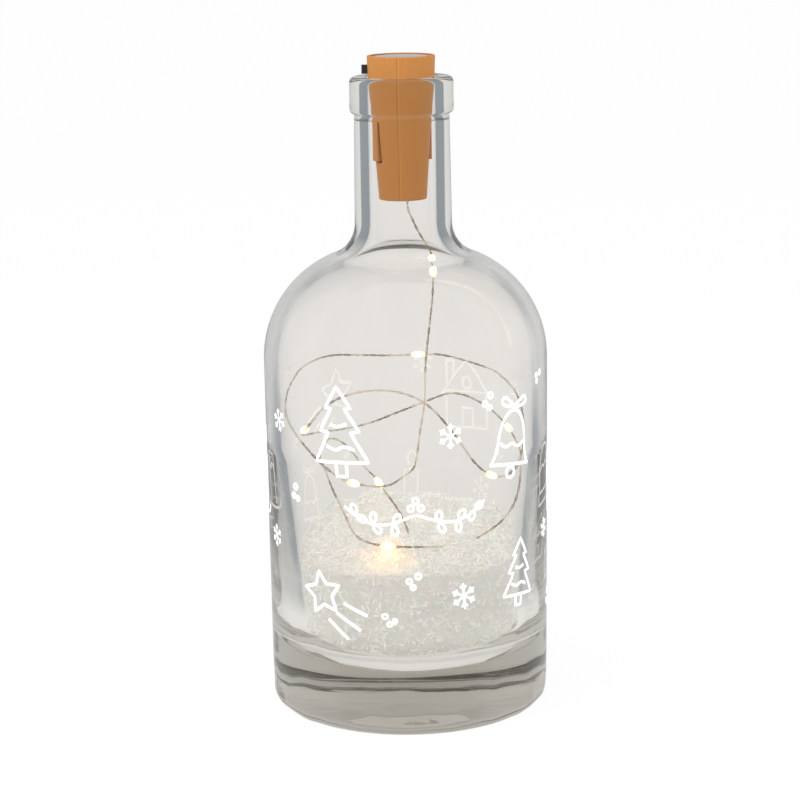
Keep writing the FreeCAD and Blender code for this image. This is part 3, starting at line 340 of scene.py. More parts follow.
# Down the bore, the inner shoulder and the inner wall, and across the floor to the axis.
pen.line(10.8, 158.95, 20)
pen.arc(*NECK_FOOT_CENTRE, -SHOULDER_TURN, 16)
pen.arc(*SHOULDER_CENTRE, SHOULDER_TURN, 30)
pen.line(INNER_WALL, INNER_WALL_FOOT, 14)
pen.line(INNER_HEEL, INNER_HEEL_CENTRE[1], 30)
pen.arc(*INNER_HEEL_CENTRE, 90, 18)
pen.line(0, 19, 14)
pen_points = len(glass.verts)
turned(glass, 256)
print("glass section:", pen_points, "points, faces:", len(glass.faces))

# %% [markdown]
# Blown glass is never even. The inner wall keeps slow waves and the floor a few hollows, which bend what is
# seen through them, so smooth noise moves the inner skin by a few tenths of a millimetre, most near the
# floor. The neck's bore stays true for the plug. The underside has faint ripples, and the heel wavers by a
# tenth or two, which breaks up the straight lines that a perfect heel would show.

# %% Waves in the inner wall, the underside and the heel
SLOW_GRAIN, QUICK_GRAIN = 42, 130
UNDERSIDE_GRAIN, HEEL_GRAIN = 280, 150
HEEL_LOW, HEEL_HIGH, HEEL_FADE = 0.5 * MM, 16 * MM, 8 * MM
FACES_IN = -0.05


def inner_wave(place):
    """How far the inner skin stands off its ideal place, in millimetres."""
    low = max(0.0, min(1.0, (60 * MM - place.z) / (45 * MM)))
    slow = noise.noise(Vector((place.x, place.y, place.z * 0.45)) * SLOW_GRAIN)
    quick = noise.noise(Vector((place.x, place.y, place.z * 0.8)) * QUICK_GRAIN + Vector((7, 3, 1)))
    return slow * (0.10 + 0.4 * low) + quick * (0.015 + 0.20 * low)


for vertex in glass.verts:
    reach = Vector((vertex.co.x, vertex.co.y, 0))
    outside_bore = reach.length > 12 * MM
    inside = outside_bore and vertex.normal.dot(reach.normalized()) < FACES_IN
    on_floor = 10 * MM < vertex.co.z < 40 * MM and reach.length < 38 * MM
    if (inside and 20 * MM < vertex.co.z < 185 * MM) or on_floor:
        vertex.co += vertex.normal * inner_wave(vertex.co) * MM
    elif vertex.co.z < 3 * MM and reach.length < 33 * MM:
        vertex.co.z += (0.08 + noise.noise(vertex.co * UNDERSIDE_GRAIN) * 0.07) * MM
    elif HEEL_LOW < vertex.co.z < HEEL_HIGH and reach.length > 40 * MM:
        fade = min(1.0, (HEEL_HIGH - vertex.co.z) / HEEL_FADE)
        waver = noise.noise(vertex.co * HEEL_GRAIN) * 0.30 - 0.12
        vertex.co += vertex.normal * waver * fade * MM
print("glass points:", len(glass.verts))

# %% [markdown]
# The two skins of the glass need different mirrors later, so each face gets a mark: 1 for the inner skin
# and the floor, 0 for the outside.

# %% Mark the inner skin
skin = glass.faces.layers.float.new("inner_skin")
for face in glass.faces:
    middle = face.calc_center_median()
    outward = Vector((middle.x, middle.y, 0)).normalized()
    floor_face = face.normal.z > 0.3 and middle.z < 40 * MM
    face[skin] = 1.0 if floor_face or face.normal.dot(outward) < FACES_IN else 0.0
print("inner faces:", sum(face[skin] > 0 for face in glass.faces))
bottle = link("bottle_glass", mesh_from(glass, "bottle_glass"))

# %% [markdown]
# ## The snow
# Decoration snow is shredded film: light, curled flakes that cling to each other and let light through.
# A soft bed carries the bulk, drawn and spun like the glass and then roughened. It is domed, has a few
# small hills and rises towards the back, as snow does that was shaken in through a neck.

# %% The bed of snow, in millimetres
CROWN, EDGE = 56.0, 52.5
EDGE_RADIUS = 37.77
HILLS = [(0.46, -0.30), (-0.10, -0.52), (-0.52, 0.06), (0.16, 0.40), (0.56, 0.26), (-0.34, 0.50)]
HILL_RADIUS, HILL_RISE = 15.0, 1.8
BACK_START, BACK_WIDTH, BACK_RISE = 2, 22, 4.2
RIPPLE_GRAIN, RIPPLE_RISE = 0.11, 1.6
TOP_FROM, FLAKE_COVER = 51.9, 0.7


def snow_height(x, y):
    """Height of the snow over a place, all in millimetres."""
    dome = CROWN - (CROWN - EDGE) * (x * x + y * y) / EDGE_RADIUS**2
    top = dome
    for across, along in HILLS:
        far = (x - across * EDGE_RADIUS) ** 2 + (y - along * EDGE_RADIUS) ** 2
        if far < HILL_RADIUS**2:
            top = max(top, CROWN + HILL_RISE - HILL_RADIUS + math.sqrt(HILL_RADIUS**2 - far))
    back = max(0.0, min(1.0, (y - BACK_START) / BACK_WIDTH))
    ripple = noise.noise(Vector((x, y, 0)) * RIPPLE_GRAIN) * RIPPLE_RISE
    return top + ripple + back * back * (3 - 2 * back) * BACK_RISE


bed = bmesh.new()
pen = Pen(bed, 0, 20.2)
pen.line(22.2, 18.7, 10)
pen.arc(*INNER_HEEL_CENTRE, -90, 14)
pen.line(37.0, 52.0, 14)
pen.line(0, CROWN, 26)
turned(bed, 120)
for vertex in bed.verts:
    x, y, z = vertex.co / MM
    if z > TOP_FROM:
        vertex.co.z = (snow_height(x, y) - FLAKE_COVER) * MM
    rough = noise.noise(vertex.co * 260) * 0.45 + noise.noise(vertex.co * 900) * 0.25 - 0.3
    vertex.co += vertex.normal * rough * MM
bed_mesh = mesh_from(bed, "snow_bed", keep=True)
snow_bed = link("snow_bed", bed_mesh)
print("snow bed faces:", len(bed_mesh.polygons))

# %% [markdown]
# Thousands of flakes lie on the bed, each a thin three-sided sliver with a bend. Three patterns are made
# once and copied with a size and a turn of their own. More of them fall on the top than on the sides. A
# spin's faces don't come in the same order every time, so they are sorted before the draws, or no two runs
# would give the same snow. A flake that would stick into the glass is pressed back to the inner wall.

# %% Flakes on the bed
random.seed(12)
FLAKES = 8000
FLAKE_LENGTH, FLAKE_WIDTH = (0.8, 2.8), (0.45, 1.2)
FLAKE_SCATTER, FLAKE_LIFT = 0.6, (-0.1, 0.35)
FLAKE_TILT = 0.5
TOP_SHARE = 2.2


def flake_mesh(name, bend, taper):
    """One sliver of film, 1 long along X, bent upwards and thinner at one end."""
    bm = bmesh.new()
    made = bmesh.ops.create_cone(
        bm, cap_ends=True, segments=3, radius1=0.34, radius2=0.34 * taper, depth=1,
    )["verts"]
    bmesh.ops.rotate(bm, verts=made, cent=(0, 0, 0), matrix=Matrix.Rotation(math.pi / 2, 3, "Y"))
    long_edges = [e for e in bm.edges if abs(e.verts[0].co.x - e.verts[1].co.x) > 0.5]
    bmesh.ops.subdivide_edges(bm, edges=long_edges, cuts=2)
    for vertex in bm.verts:
        vertex.co.z = vertex.co.z * 0.45 + bend * vertex.co.x**2
        vertex.co.y += bend * 0.4 * vertex.co.x
    return mesh_from(bm, name, smooth=False)


patterns = [
    flake_mesh("flake_straight", 0.15, 0.6), flake_mesh("flake_curl", 0.7, 0.4),
    flake_mesh("flake_crumb", -0.4, 1.0),
]
outside = [face for face in bed.faces if face.calc_center_median().z > 20 * MM]
outside.sort(key=lambda face: tuple(face.calc_center_median()))
weights = [face.calc_area() * (TOP_SHARE if face.normal.z > 0.5 else 1.0) for face in outside]
flakes = bmesh.new()
for face in random.choices(outside, weights, k=FLAKES):
    pattern = random.choice(patterns).copy()
    long = random.uniform(*FLAKE_LENGTH) * MM
    wide = random.uniform(*FLAKE_WIDTH) * MM
    scatter = Vector([random.uniform(-FLAKE_SCATTER, FLAKE_SCATTER) for _ in range(3)]) * MM
    lean = Matrix.Rotation(random.gauss(0, FLAKE_TILT), 4, "Y")
    tilt = lean @ Matrix.Rotation(random.gauss(0, FLAKE_TILT), 4, "X")
    flat = face.normal.to_track_quat("Z", "Y").to_matrix().to_4x4()
    lie = flat @ Matrix.Rotation(random.uniform(0, 6.28), 4, "Z")
    lift = face.normal * random.uniform(*FLAKE_LIFT) * MM
    place = Matrix.Translation(face.calc_center_median() + scatter + lift) @ lie @ tilt
    pattern.transform(place @ Matrix.Diagonal((long, wide, wide, 1)))
    flakes.from_mesh(pattern)
    bpy.data.meshes.remove(pattern)
bed.free()
print("flakes:", FLAKES)


# %% Press the flakes back from the glass
def inside_radius(z):
    """Radius of the bottle's inside at a height, in millimetres."""
    foot = INNER_HEEL_CENTRE[1]
    if z > INNER_WALL_FOOT:
        return INNER_WALL
    if z > foot:
        return INNER_HEEL + (INNER_WALL - INNER_HEEL) * (z - foot) / (INNER_WALL_FOOT - foot)
    return INNER_HEEL_CENTRE[0] + math.sqrt(max(0.0, INNER_HEEL_RADIUS**2 - (foot - z) ** 2))


GLASS_CLEARANCE = 0.55
pressed = 0
for vertex in flakes.verts:
    x, y, z = vertex.co / MM
    room = inside_radius(z) - GLASS_CLEARANCE
    reach = math.hypot(x, y)
    if reach > room:
        vertex.co.x *= room / reach
        vertex.co.y *= room / reach
        pressed += 1
snow_flakes = link("snow_flakes", mesh_from(flakes, "snow_flakes", smooth=False))
print("flake faces:", len(snow_flakes.data.polygons), "points pressed back:", pressed)

# %% [markdown]
# ## The print
# White figures are screen-printed round the glass: a winter set of fir trees, bells, candles, houses,
# mittens, stars and snow crystals in plain strokes. Each figure is a list of strokes, and a stroke is a
# list of points, in millimetres along and up the glass, and says whether it closes.

# %% Helpers for strokes
STROKE = 0.5


def circle_stroke(x, z, radius, parts=12):
    turns = [2 * math.pi * part / parts for part in range(parts)]
    return [(x + radius * math.cos(turn), z + radius * math.sin(turn)) for turn in turns], True


def between(a, b, part):
    """The place that is a part of the way from a to b."""
    return a[0] * (1 - part) + b[0] * part, a[1] * (1 - part) + b[1] * part


def smooth(points, closed=False):
    """A stroke through given points, rounded by cutting its corners twice."""
    for _ in range(2):
        ends = points[1:] + points[:1] if closed else points[1:]
        cut = [between(a, b, part) for a, b in zip(points, ends) for part in (0.25, 0.75)]
        points = cut if closed else [points[0]] + cut[1:-1] + [points[-1]]
    return points, closed


# %% Trees, bells, candles, houses and mittens
def fir_tree():
    right = [(6.2, -3), (2.6, 3.3), (4.6, 3.6), (1.6, 8.3), (3, 8.5)]
    left = [(-3, 8.5), (-1.6, 8.3), (-4.6, 3.6), (-2.6, 3.3), (-6.2, -3)]
    trunk = [(-1.2, -3), (-1.2, -6), (1.2, -6), (1.2, -3)]
    low_bough = smooth([(-3.2, 0.4), (-1, -0.6), (1, 0.6), (3.2, -0.4)])
    high_bough = smooth([(-2, 5), (-0.4, 4.4), (1.8, 5.2)])
    return [([(0, 13)] + left + right, True), (trunk, False), low_bough, high_bough]


def bell():
    dome = [(-6, -5), (-4.6, -2), (-4.2, 3), (-2.4, 6.6), (0, 7.6), (2.4, 6.6), (4.2, 3), (4.6, -2), (6, -5)]
    bow = [(0, 8), (-3.6, 11), (-4.4, 8.6), (0, 8), (3.6, 11), (4.4, 8.6), (0, 8)]
    return [
        smooth(dome), ([(-6.4, -5), (6.4, -5)], False), circle_stroke(0, -6.8, 1.3), smooth(bow),
        smooth([(-4, 0), (-2, -1.2), (0, 0), (2, -1.2), (4, 0)]),
    ]


def candle():
    flame = [(0, 6), (-1.8, 8.4), (0, 12), (1.8, 8.4)]
    return [
        ([(-2.2, -8), (-2.2, 4), (2.2, 4), (2.2, -8)], False), smooth(flame, True),
        ([(0, 4), (0, 6)], False), smooth([(-2.2, 1.5), (-0.8, -0.5), (0.6, 2), (2.2, 0.2)]),
        smooth([(-5.4, -6.6), (-5, -8.6), (0, -9.4), (5, -8.6), (5.4, -6.6)]),
    ]


def house():
    return [
        ([(-5.5, -6), (-5.5, 2), (5.5, 2), (5.5, -6)], True), ([(-7, 1), (0, 8.4), (7, 1)], False),
        ([(-1.4, -6), (-1.4, -1.6), (1.4, -1.6), (1.4, -6)], False), circle_stroke(0, 3.6, 1.1),
        ([(3.4, 5), (3.4, 8.4), (5.2, 8.4), (5.2, 3)], False),
    ]


def mitten():
    thumb = [(3.4, 1.6), (5.6, 3.6), (7, 1.8), (4, -2.6), (3.2, -5)]
    hand = [(-3.4, -5), (-3.8, 1), (-3.2, 5.6), (0, 7.2), (3, 5.6)] + thumb
    return [
        smooth(hand), ([(-4, -5), (4, -5), (4, -8), (-4, -8)], True),
        smooth([(-3.4, 0.6), (-1.6, 2), (0, 0.6), (1.6, 2), (3, 0.8)]),
    ]


# %% Stars, crystals, berries and the garland
def shooting_star():
    star = []
    for part in range(10):
        reach = 5.2 * (1 if part % 2 == 0 else 0.5)
        turn = math.pi / 2 + part * math.pi / 5
        star.append((reach * math.cos(turn), reach * math.sin(turn)))
    tails = [[(3, -4.6), (8.4, -9.2)], [(5.4, -2.6), (10.6, -6)], [(0.6, -6), (5, -11)]]
    return [(star, True)] + [(tail, False) for tail in tails]


def crystal():
    """Six arms with a pair of twigs each."""
    size, twig = 5.0, 1.8
    strokes = []
    for arm in range(6):
        turn = math.pi / 2 + arm * math.pi / 3
        tip = (size * math.cos(turn), size * math.sin(turn))
        root = (0.55 * tip[0], 0.55 * tip[1])
        strokes.append(([(0, 0), tip], False))
        for side in (turn - 0.75, turn + 0.75):
            end = (root[0] + twig * math.cos(side), root[1] + twig * math.sin(side))
            strokes.append(([root, end], False))
    return strokes


def leaf(x, z, turn):
    """A pointed leaf that starts at a place and looks in a direction."""
    long, wide = 4.2, 1.3
    ax, az = math.cos(turn), math.sin(turn)
    middle_x, middle_z = x + ax * long * 0.5, z + az * long * 0.5
    one_side = (middle_x - az * wide, middle_z + ax * wide)
    other_side = (middle_x + az * wide, middle_z - ax * wide)
    return smooth([(x, z), one_side, (x + ax * long, z + az * long), other_side], True)


def garland():
    """A long drooping branch with leaves and berries, for the middle of the front."""
    stem = [(-23, 3), (-17, -1.6), (-10, -3), (-3, -0.6), (0, 0.6), (3, -0.6), (10, -3), (17, -1.6), (23, 3)]
    knots = [
        (-19, 0.4, 0.7), (-13.5, -2.2, 0.3), (-7, -2.4, -0.2),
        (7, -2.4, 0.2), (13.5, -2.2, -0.3), (19, 0.4, -0.7),
    ]
    leaves = [leaf(x, z, lean + way * 1.25) for x, z, lean in knots for way in (1, -1)]
    berries = [circle_stroke(x, z, 0.95, 10) for x, z in ((-1.6, 2.6), (1.6, 2.6), (0, 4.9))]
    return [smooth(stem)] + leaves + berries


def rings():
    return [circle_stroke(0, 0, 0.8), circle_stroke(2.8, 1.6, 0.9), circle_stroke(1.2, -1.9, 0.7)]


# %% Where the figures go: degrees round the glass from the front, height, size and tilt
PRINT = [
    (fir_tree, -27, 94, 1.5, 3), (bell, 46, 93, 1.4, -6), (garland, 3, 73, 1, 1),
    (candle, -86, 78, 1.4, 0), (mitten, 88, 76, 1.4, 8), (house, 150, 92, 1.6, -2),
    (shooting_star, -145, 96, 1.4, 0), (candle, 178, 60, 1.2, 2), (bell, -120, 58, 1.2, 8),
    (shooting_star, -37, 46, 1.4, 10), (fir_tree, 50, 46, 1.15, -4), (mitten, -168, 38, 1, -12),
    (house, 108, 44, 1.2, 0), (crystal, 22, 46, 0.85, 5), (crystal, -62, 99, 0.75, 12),
    (crystal, 17, 98, 0.8, 0), (crystal, 74, 60, 0.7, 8), (crystal, -68, 60, 0.75, 0),
    (crystal, 118, 98, 0.9, 15), (crystal, 172, 104, 0.8, 3), (crystal, -112, 82, 0.8, 0),
    (crystal, 140, 58, 0.9, 9), (crystal, -94, 40, 0.7, 20), (rings, 0, 52, 1, 0),
    (rings, 32, 107, 1, 20), (rings, -52, 76, 1, 40), (rings, 64, 112, 0.9, -20),
    (rings, 128, 74, 1, 0), (rings, -150, 70, 1, 60), (rings, -104, 108, 1, 0),
    (rings, -8, 38, 0.9, 90), (rings, 80, 34, 1, 30),
]
LIGHTEST, HEAVIEST = 0.75, 1.25
print("figures:", len(PRINT))

# %% [markdown]
# The strokes of all figures are laid out flat first. They become one curve with a round bevel, and the
# curve becomes a mesh. A stroke needs a point at least every millimetre and a half, because only its
# points bend round the glass later.

# %% The flat print
LONGEST_STEP = 1.4


def flat_strokes():
    """All figures as one list of strokes in millimetres along and up the glass."""
    placed = []
    for figure, degrees, height, size, tilt in PRINT:
        cos, sin = math.cos(math.radians(tilt)), math.sin(math.radians(tilt))
        along = math.radians(degrees) * WALL
        for points, closed in figure():
            sized = [(x * size, z * size) for x, z in points]
            moved = [(along + x * cos - z * sin, height + x * sin + z * cos) for x, z in sized]
            placed.append((moved, closed, min(HEAVIEST, max(LIGHTEST, size))))
    return placed


def stepped(points, closed):
    """The same stroke with points close enough to bend round the glass."""
    ends = points[1:] + points[:1] if closed else points[1:]
    out = []
    for (ax, az), (bx, bz) in zip(points, ends):
        parts = max(1, math.ceil(math.hypot(bx - ax, bz - az) / LONGEST_STEP))
        out += [(ax + (bx - ax) * part / parts, az + (bz - az) * part / parts) for part in range(parts)]
    return out if closed else out + [points[-1]]


ink_curve = new_curve("printed_figures", STROKE)
for points, closed, weight in flat_strokes():
    points = stepped(points, closed)
    spline = ink_curve.splines.new("POLY")
    spline.points.add(len(points) - 1)
    spline.use_cyclic_u = closed
    for point, (x, z) in zip(spline.points, points):
        point.co = (x, 0, z, 1)
        point.radius = weight
ink_mesh = mesh_of(ink_curve, "printed_figures")
print("strokes:", len(ink_curve.splines))

# %% [markdown]
# The flat mesh is wrapped on the wall and pressed thin, so that it lies on the glass as ink does. Its faces
# get a mark for the side that they look to, because ink looks different from behind.

# %% Wrap the print round the glass
FRONT = AROUND - math.pi / 2
INK_PRESS, INK_GAP = 0.09, 0.03


def outside_radius(z):
    """Radius of the bottle's straight side at a height, in millimetres."""
    foot = HEEL_CENTRE[1]
    return HEEL_RADIUS + (WALL - HEEL_RADIUS) * (min(z, WALL_TOP) - foot) / (WALL_TOP - foot)


for vertex in ink_mesh.vertices:
    along, thick, up = vertex.co
    turn = FRONT + along / WALL
    reach = (outside_radius(up) + INK_GAP + abs(thick) * INK_PRESS * (1 if thick < 0 else -1)) * MM
    vertex.co = (reach * math.cos(turn), reach * math.sin(turn), up * MM)
outer_side = ink_mesh.attributes.new("outer_side", "FLOAT", "FACE")
for face in ink_mesh.polygons:
    face.use_smooth = True
    outer_side.data[face.index].value = 1.0 if face.normal.dot(Vector((*face.center.xy, 0))) > 0 else 0.0
ink = link("printed_figures", ink_mesh)
print("print faces:", len(ink_mesh.polygons))

# %% [markdown]
# ## Materials
# A few helpers keep the node trees short. They name a node's type without its "ShaderNode". A value for a
# socket may be another socket or a node, which is linked, or a number or colour, which is set.

# %% Helpers for node trees
def put(tree, value, socket):
    """Link a socket to another one or to a node's first output, or set it to a plain value."""
    if isinstance(value, bpy.types.Node):
        value = value.outputs[0]
    if isinstance(value, bpy.types.NodeSocket):
        tree.links.new(value, socket)
    else:
        socket.default_value = value


def add_node(tree, kind, **values):
    """A new node with some of its sockets linked or set, by name."""
    node = tree.nodes.new("ShaderNode" + kind)
    for name, value in values.items():
        put(tree, value, node.inputs[name.replace("_", " ")])
    return node


def attribute(tree, name):
    """The numbers that a piece carries under a name."""
    node = add_node(tree, "Attribute")
    node.attribute_name = name
    return node.outputs["Fac"]


def maths(tree, operation, *values, clamp=False):
    """The result of a Math node on sockets and numbers."""
    node = add_node(tree, "Math")
    node.operation = operation
    node.use_clamp = clamp
    for value, socket in zip(values, node.inputs):
        put(tree, value, socket)
    return node.outputs[0]


def mix_colour(tree, factor, first, second, way="MIX"):
    node = add_node(tree, "Mix")
    node.data_type = "RGBA"
    node.blend_type = way
    for value, name in ((factor, "Factor"), (first, "A"), (second, "B")):
        put(tree, value, node.inputs[name])
    return node.outputs["Result"]


def join(tree, kind, *values):
    """A node that joins two shaders, with its sockets filled in their order."""
    node = add_node(tree, kind)
    for value, socket in zip(values, node.inputs):
        put(tree, value, socket)
    return node


def colour_ramp(tree, factor, stops):
    """A ramp of stops, each a position with a colour or a grey."""
    ramp = add_node(tree, "ValToRGB")
    while len(ramp.color_ramp.elements) < len(stops):
        ramp.color_ramp.elements.new(0.5)
    for element, (position, colour) in zip(ramp.color_ramp.elements, stops):
        element.position = position
        element.color = (*(colour if isinstance(colour, tuple) else (colour,) * 3), 1)
    put(tree, factor, ramp.inputs[0])
    return ramp.outputs[0]


def map_range(tree, value, low, high, way="LINEAR"):
    """Bring a value from between low and high to between 0 and 1."""
    node = add_node(tree, "MapRange", Value=value, From_Min=low, From_Max=high)
    node.interpolation_type = way
    return node.outputs["Result"]


# %% [markdown]
# One helper starts every opaque finish: a Principled shader whose colour is broken up by noise on Object
# coordinates, so that no surface is a single flat colour, with a fine bump from the same noise. Its nodes
# get names, by which a finish finds them again to change what makes it itself.

# %% A helper for finishes
def finish(name, colour, dark=None, rough=0.45, metal=0.0, grain=400.0, bump=0.15, depth=0.05, **sockets):
    """A material of two close colours mixed by noise. Grain is in cycles per metre, depth in millimetres."""
    material = bpy.data.materials.new(name)
    material.use_nodes = True
    tree = material.node_tree
    shader = tree.nodes["Principled BSDF"]
    place = add_node(tree, "TexCoord")
    place.name = "place"
    cloud = add_node(tree, "TexNoise", Vector=place.outputs["Object"], Scale=grain, Detail=4)
    cloud.name = "cloud"
    darker = (*(dark or [part * 0.82 for part in colour]), 1)
    blend = mix_colour(tree, cloud.outputs["Fac"], darker, (*colour, 1))
    blend.node.name = "blend"
    rise = add_node(tree, "Bump", Strength=bump, Distance=depth * MM, Height=cloud.outputs["Fac"])
    sockets.update(Base_Color=blend, Normal=rise.outputs["Normal"], Roughness=rough, Metallic=metal)
    for socket, value in sockets.items():
        put(tree, value, shader.inputs[socket.replace("_", " ")])
    return material


def dress(piece, material):
    """Give a piece one material in place of what it had."""
    piece.data.materials.clear()
    piece.data.materials.append(material)


# %% [markdown]
# The dark lines of glass are painted shade in the mirror colour of its inner wall. Seen from within the wall
# at a slant, real glass reflects everything, and what it reflects is the dark side of the room; here the
# mirror's colour is painted dark to stand for that. That full reflection starts where Layer Weight's Facing
# is about a quarter. In the thin wall of the body the slant ends soon after it, in the thick neck it goes
# on much further, so each has a ramp of painted shade of its own: dark first, bright where it gets shallow.
# The outer skin's mirror is dim where one looks straight on, or it would lay a veil of pale floor over the
# plug.

# %% Mirrors of the glass, with painted shade
GLASS_INDEX = 1.5
bottle_glass = bpy.data.materials.new("bottle_glass")
bottle_glass.use_nodes = True
tree = bottle_glass.node_tree
tree.nodes.remove(tree.nodes["Principled BSDF"])
place = add_node(tree, "TexCoord").outputs["Object"]
wave = add_node(tree, "TexNoise", Vector=place, Scale=60.0, Detail=2.0)
rise = add_node(tree, "Bump", Strength=0.2, Distance=0.05 * MM, Height=wave.outputs["Fac"])
bumpy = rise.outputs["Normal"]
facing = add_node(tree, "LayerWeight", Blend=0.5, Normal=bumpy).outputs["Facing"]
# Painted shade: ramps that darken the inner wall's mirror, one for the neck and one for the body.
neck_painted_shade = colour_ramp(
    tree, facing, [(0.0, 0.15), (0.25, (0.30, 0.34, 0.37)), (0.425, (0.32, 0.36, 0.39)), (0.455, 0.88)],
)
body_painted_shade = colour_ramp(
    tree, facing,
    [(0.0, 0.15), (0.25, (0.27, 0.30, 0.33)), (0.270, (0.28, 0.32, 0.35)), (0.292, (0.56, 0.58, 0.59)),
     (0.45, (0.86, 0.87, 0.88))],
)
outer_mirror = colour_ramp(tree, facing, [(0.16, 0.2), (0.25, 0.97)])

# %% [markdown]
# The body's painted dark line isn't the same all the way up. Its painted shade is pale round the foot, dark
# along the straight side and half pale again on the shoulder, with slow streaks in it that run up the glass.
# Above the shoulder the neck's ramp of painted shade takes over.

# %% How the mirrors change over the height
NECK_FROM, NECK_FULL = 0.146, 0.154
RAMP_FROM, RAMP_TO = 0.020, 0.170
level = add_node(tree, "SeparateXYZ", Vector=place).outputs["Z"]
height = map_range(tree, level, RAMP_FROM, RAMP_TO)
pale_by_height = colour_ramp(
    tree, height, [(0.0, 1.0), (0.09, 1.0), (0.14, 0.26), (0.45, 0.12), (0.70, 0.45), (0.90, 0.52)],
)
stretch = add_node(tree, "Mapping", Vector=place, Scale=(1, 1, 0.35))
streaks = add_node(tree, "TexNoise", Vector=stretch, Scale=85.0, Detail=2.0)
streaky = map_range(tree, streaks.outputs["Fac"], 0.42, 0.66)
# The body's painted shade is lifted by height and by slow streaks.
pale = maths(tree, "MULTIPLY_ADD", streaky, 0.35, pale_by_height)
body_mirror = mix_colour(tree, pale, body_painted_shade, (0.96, 0.96, 0.96, 1))
inner_mirror = mix_colour(tree, map_range(tree, level, NECK_FROM, NECK_FULL), body_mirror, neck_painted_shade)
mirror_colour_painted_shade = mix_colour(tree, attribute(tree, "inner_skin"), outer_mirror, inner_mirror)
print("mirror nodes:", len(tree.nodes))

# %% [markdown]
# The surface is refraction and mirror, shared out by Fresnel. A faint painted glow, a small emission that
# rides on the mirror, stands for light caught in the thick foot that comes out again hazy. Bottle glass is a
# little grey, so an absorbing volume makes light darker and warmer that runs a long way in the base. Rays
# from lamps and from diffuse surfaces go straight through, or the snow would stand in its bottle's
# shadow.

# %% Clear glass
mirror = add_node(tree, "BsdfAnisotropic", Color=mirror_colour_painted_shade, Roughness=0.0, Normal=bumpy)
# Painted glow: the foot of the glass gives off a little light of its own.
foot_painted_glow_colour = colour_ramp(tree, height, [(0.10, (0.95, 0.94, 0.90)), (0.25, 0.08)])
painted_foot_glow = add_node(tree, "Emission", Color=foot_painted_glow_colour, Strength=0.11)
mirror_and_painted_glow = join(tree, "AddShader", mirror, painted_foot_glow)
bend = add_node(
    tree, "BsdfRefraction", Color=(0.984, 0.978, 0.970, 1), Roughness=0.0, IOR=GLASS_INDEX,
    Normal=bumpy,
)
share = add_node(tree, "Fresnel", IOR=GLASS_INDEX, Normal=bumpy)
surface = join(tree, "MixShader", share, bend, mirror_and_painted_glow)
through = add_node(tree, "BsdfTransparent", Color=(0.95, 0.95, 0.945, 1))
path = add_node(tree, "LightPath")
lets_by = maths(tree, "MAXIMUM", path.outputs["Is Shadow Ray"], path.outputs["Is Diffuse Ray"])
drink = add_node(tree, "VolumeAbsorption", Color=(0.30, 0.27, 0.19, 1), Density=15.0)
out = tree.nodes["Material Output"]
put(tree, join(tree, "MixShader", lets_by, surface, through), out.inputs["Surface"])
put(tree, drink, out.inputs["Volume"])
dress(bottle, bottle_glass)
print("glass nodes:", len(tree.nodes))

# %% [markdown]
# The plug is moulded in a warm cork colour with a fine speckle, and a fine line runs down it where its two
# halves meet. The line is a ramp across half a millimetre on each side of the plane where they meet, on
# Object coordinates, which holds on both halves because they share the frame. It is darker on one side,
# where the joint is, and carries a painted highlight on the other, as if a step there caught the light.

# %% Plug plastic with its joint line and a painted highlight
SEAM_HALF = 0.5 * MM
plug_plastic = finish(
    "plug_plastic", (0.640, 0.280, 0.078), (0.560, 0.232, 0.060), rough=0.48, grain=900, bump=0.12,
    Subsurface_Weight=0.12, Subsurface_Scale=0.002, IOR=1.48, Specular_IOR_Level=0.2,
)
tree = plug_plastic.node_tree
split = add_node(tree, "SeparateXYZ", Vector=tree.nodes["place"].outputs["Object"])
# A dark joint on one side and a painted highlight, brighter than the plastic, on the other.
seam_joint_and_painted_highlight = colour_ramp(
    tree, map_range(tree, split.outputs["X"], -SEAM_HALF, SEAM_HALF),
    [(0.0, 1.0), (0.30, (0.80, 0.78, 0.76)), (0.48, (0.82, 0.80, 0.78)), (0.54, (1.22, 1.25, 1.3)),
     (0.8, 1.1), (1.0, 1.0)],
)
seamed_with_painted_highlight = mix_colour(tree, 1.0, tree.nodes["blend"].outputs["Result"], seam_joint_and_painted_highlight, "MULTIPLY")
put(tree, seamed_with_painted_highlight, tree.nodes["Principled BSDF"].inputs["Base Color"])
for name in ("casing_switch_side", "casing_plain_side"):
    dress(nodes[name], plug_plastic)
print("plug nodes:", len(tree.nodes))

# %% Small hardware of the plug
def small(pieces, title, *colours, **options):
    """One finish for some of the frame's own pieces."""
    material = finish(title, *colours, **options)
    for name in pieces.split():
        dress(nodes[name], material)
    print(title, "on", pieces)


small(
    "switch_knob switch_slider driver_chip", "knob_plastic", (0.022, 0.022, 0.024), rough=0.5, grain=2500,
    bump=0.3,
)
small("solar_backing_board circuit_board", "board_green", (0.05, 0.18, 0.09), rough=0.35, grain=1500)
small("solar_cells", "silicon", (0.035, 0.028, 0.06), (0.02, 0.018, 0.045), rough=0.25, grain=500)
small("switch_terminals switch_wiper", "contact_brass", (0.75, 0.58, 0.27), rough=0.3, metal=1.0, grain=1800)
small("switch_base", "pressed_board", (0.16, 0.07, 0.03), rough=0.7, grain=2600)
small("battery_washer", "paper", (0.8, 0.79, 0.74), rough=0.85, grain=3000)
small("battery_sleeve", "sleeve_film", (0.02, 0.2, 0.11), rough=0.25, grain=900)
small("battery_lead_red solar_lead_red", "red_cover", (0.5, 0.02, 0.015), rough=0.4, grain=1500)
small("battery_lead_black solar_lead_black", "black_cover", (0.02, 0.02, 0.02), rough=0.4, grain=1500)
small("choke_coil", "coil_wire", (0.12, 0.2, 0.08), rough=0.35, grain=3000, bump=0.5)
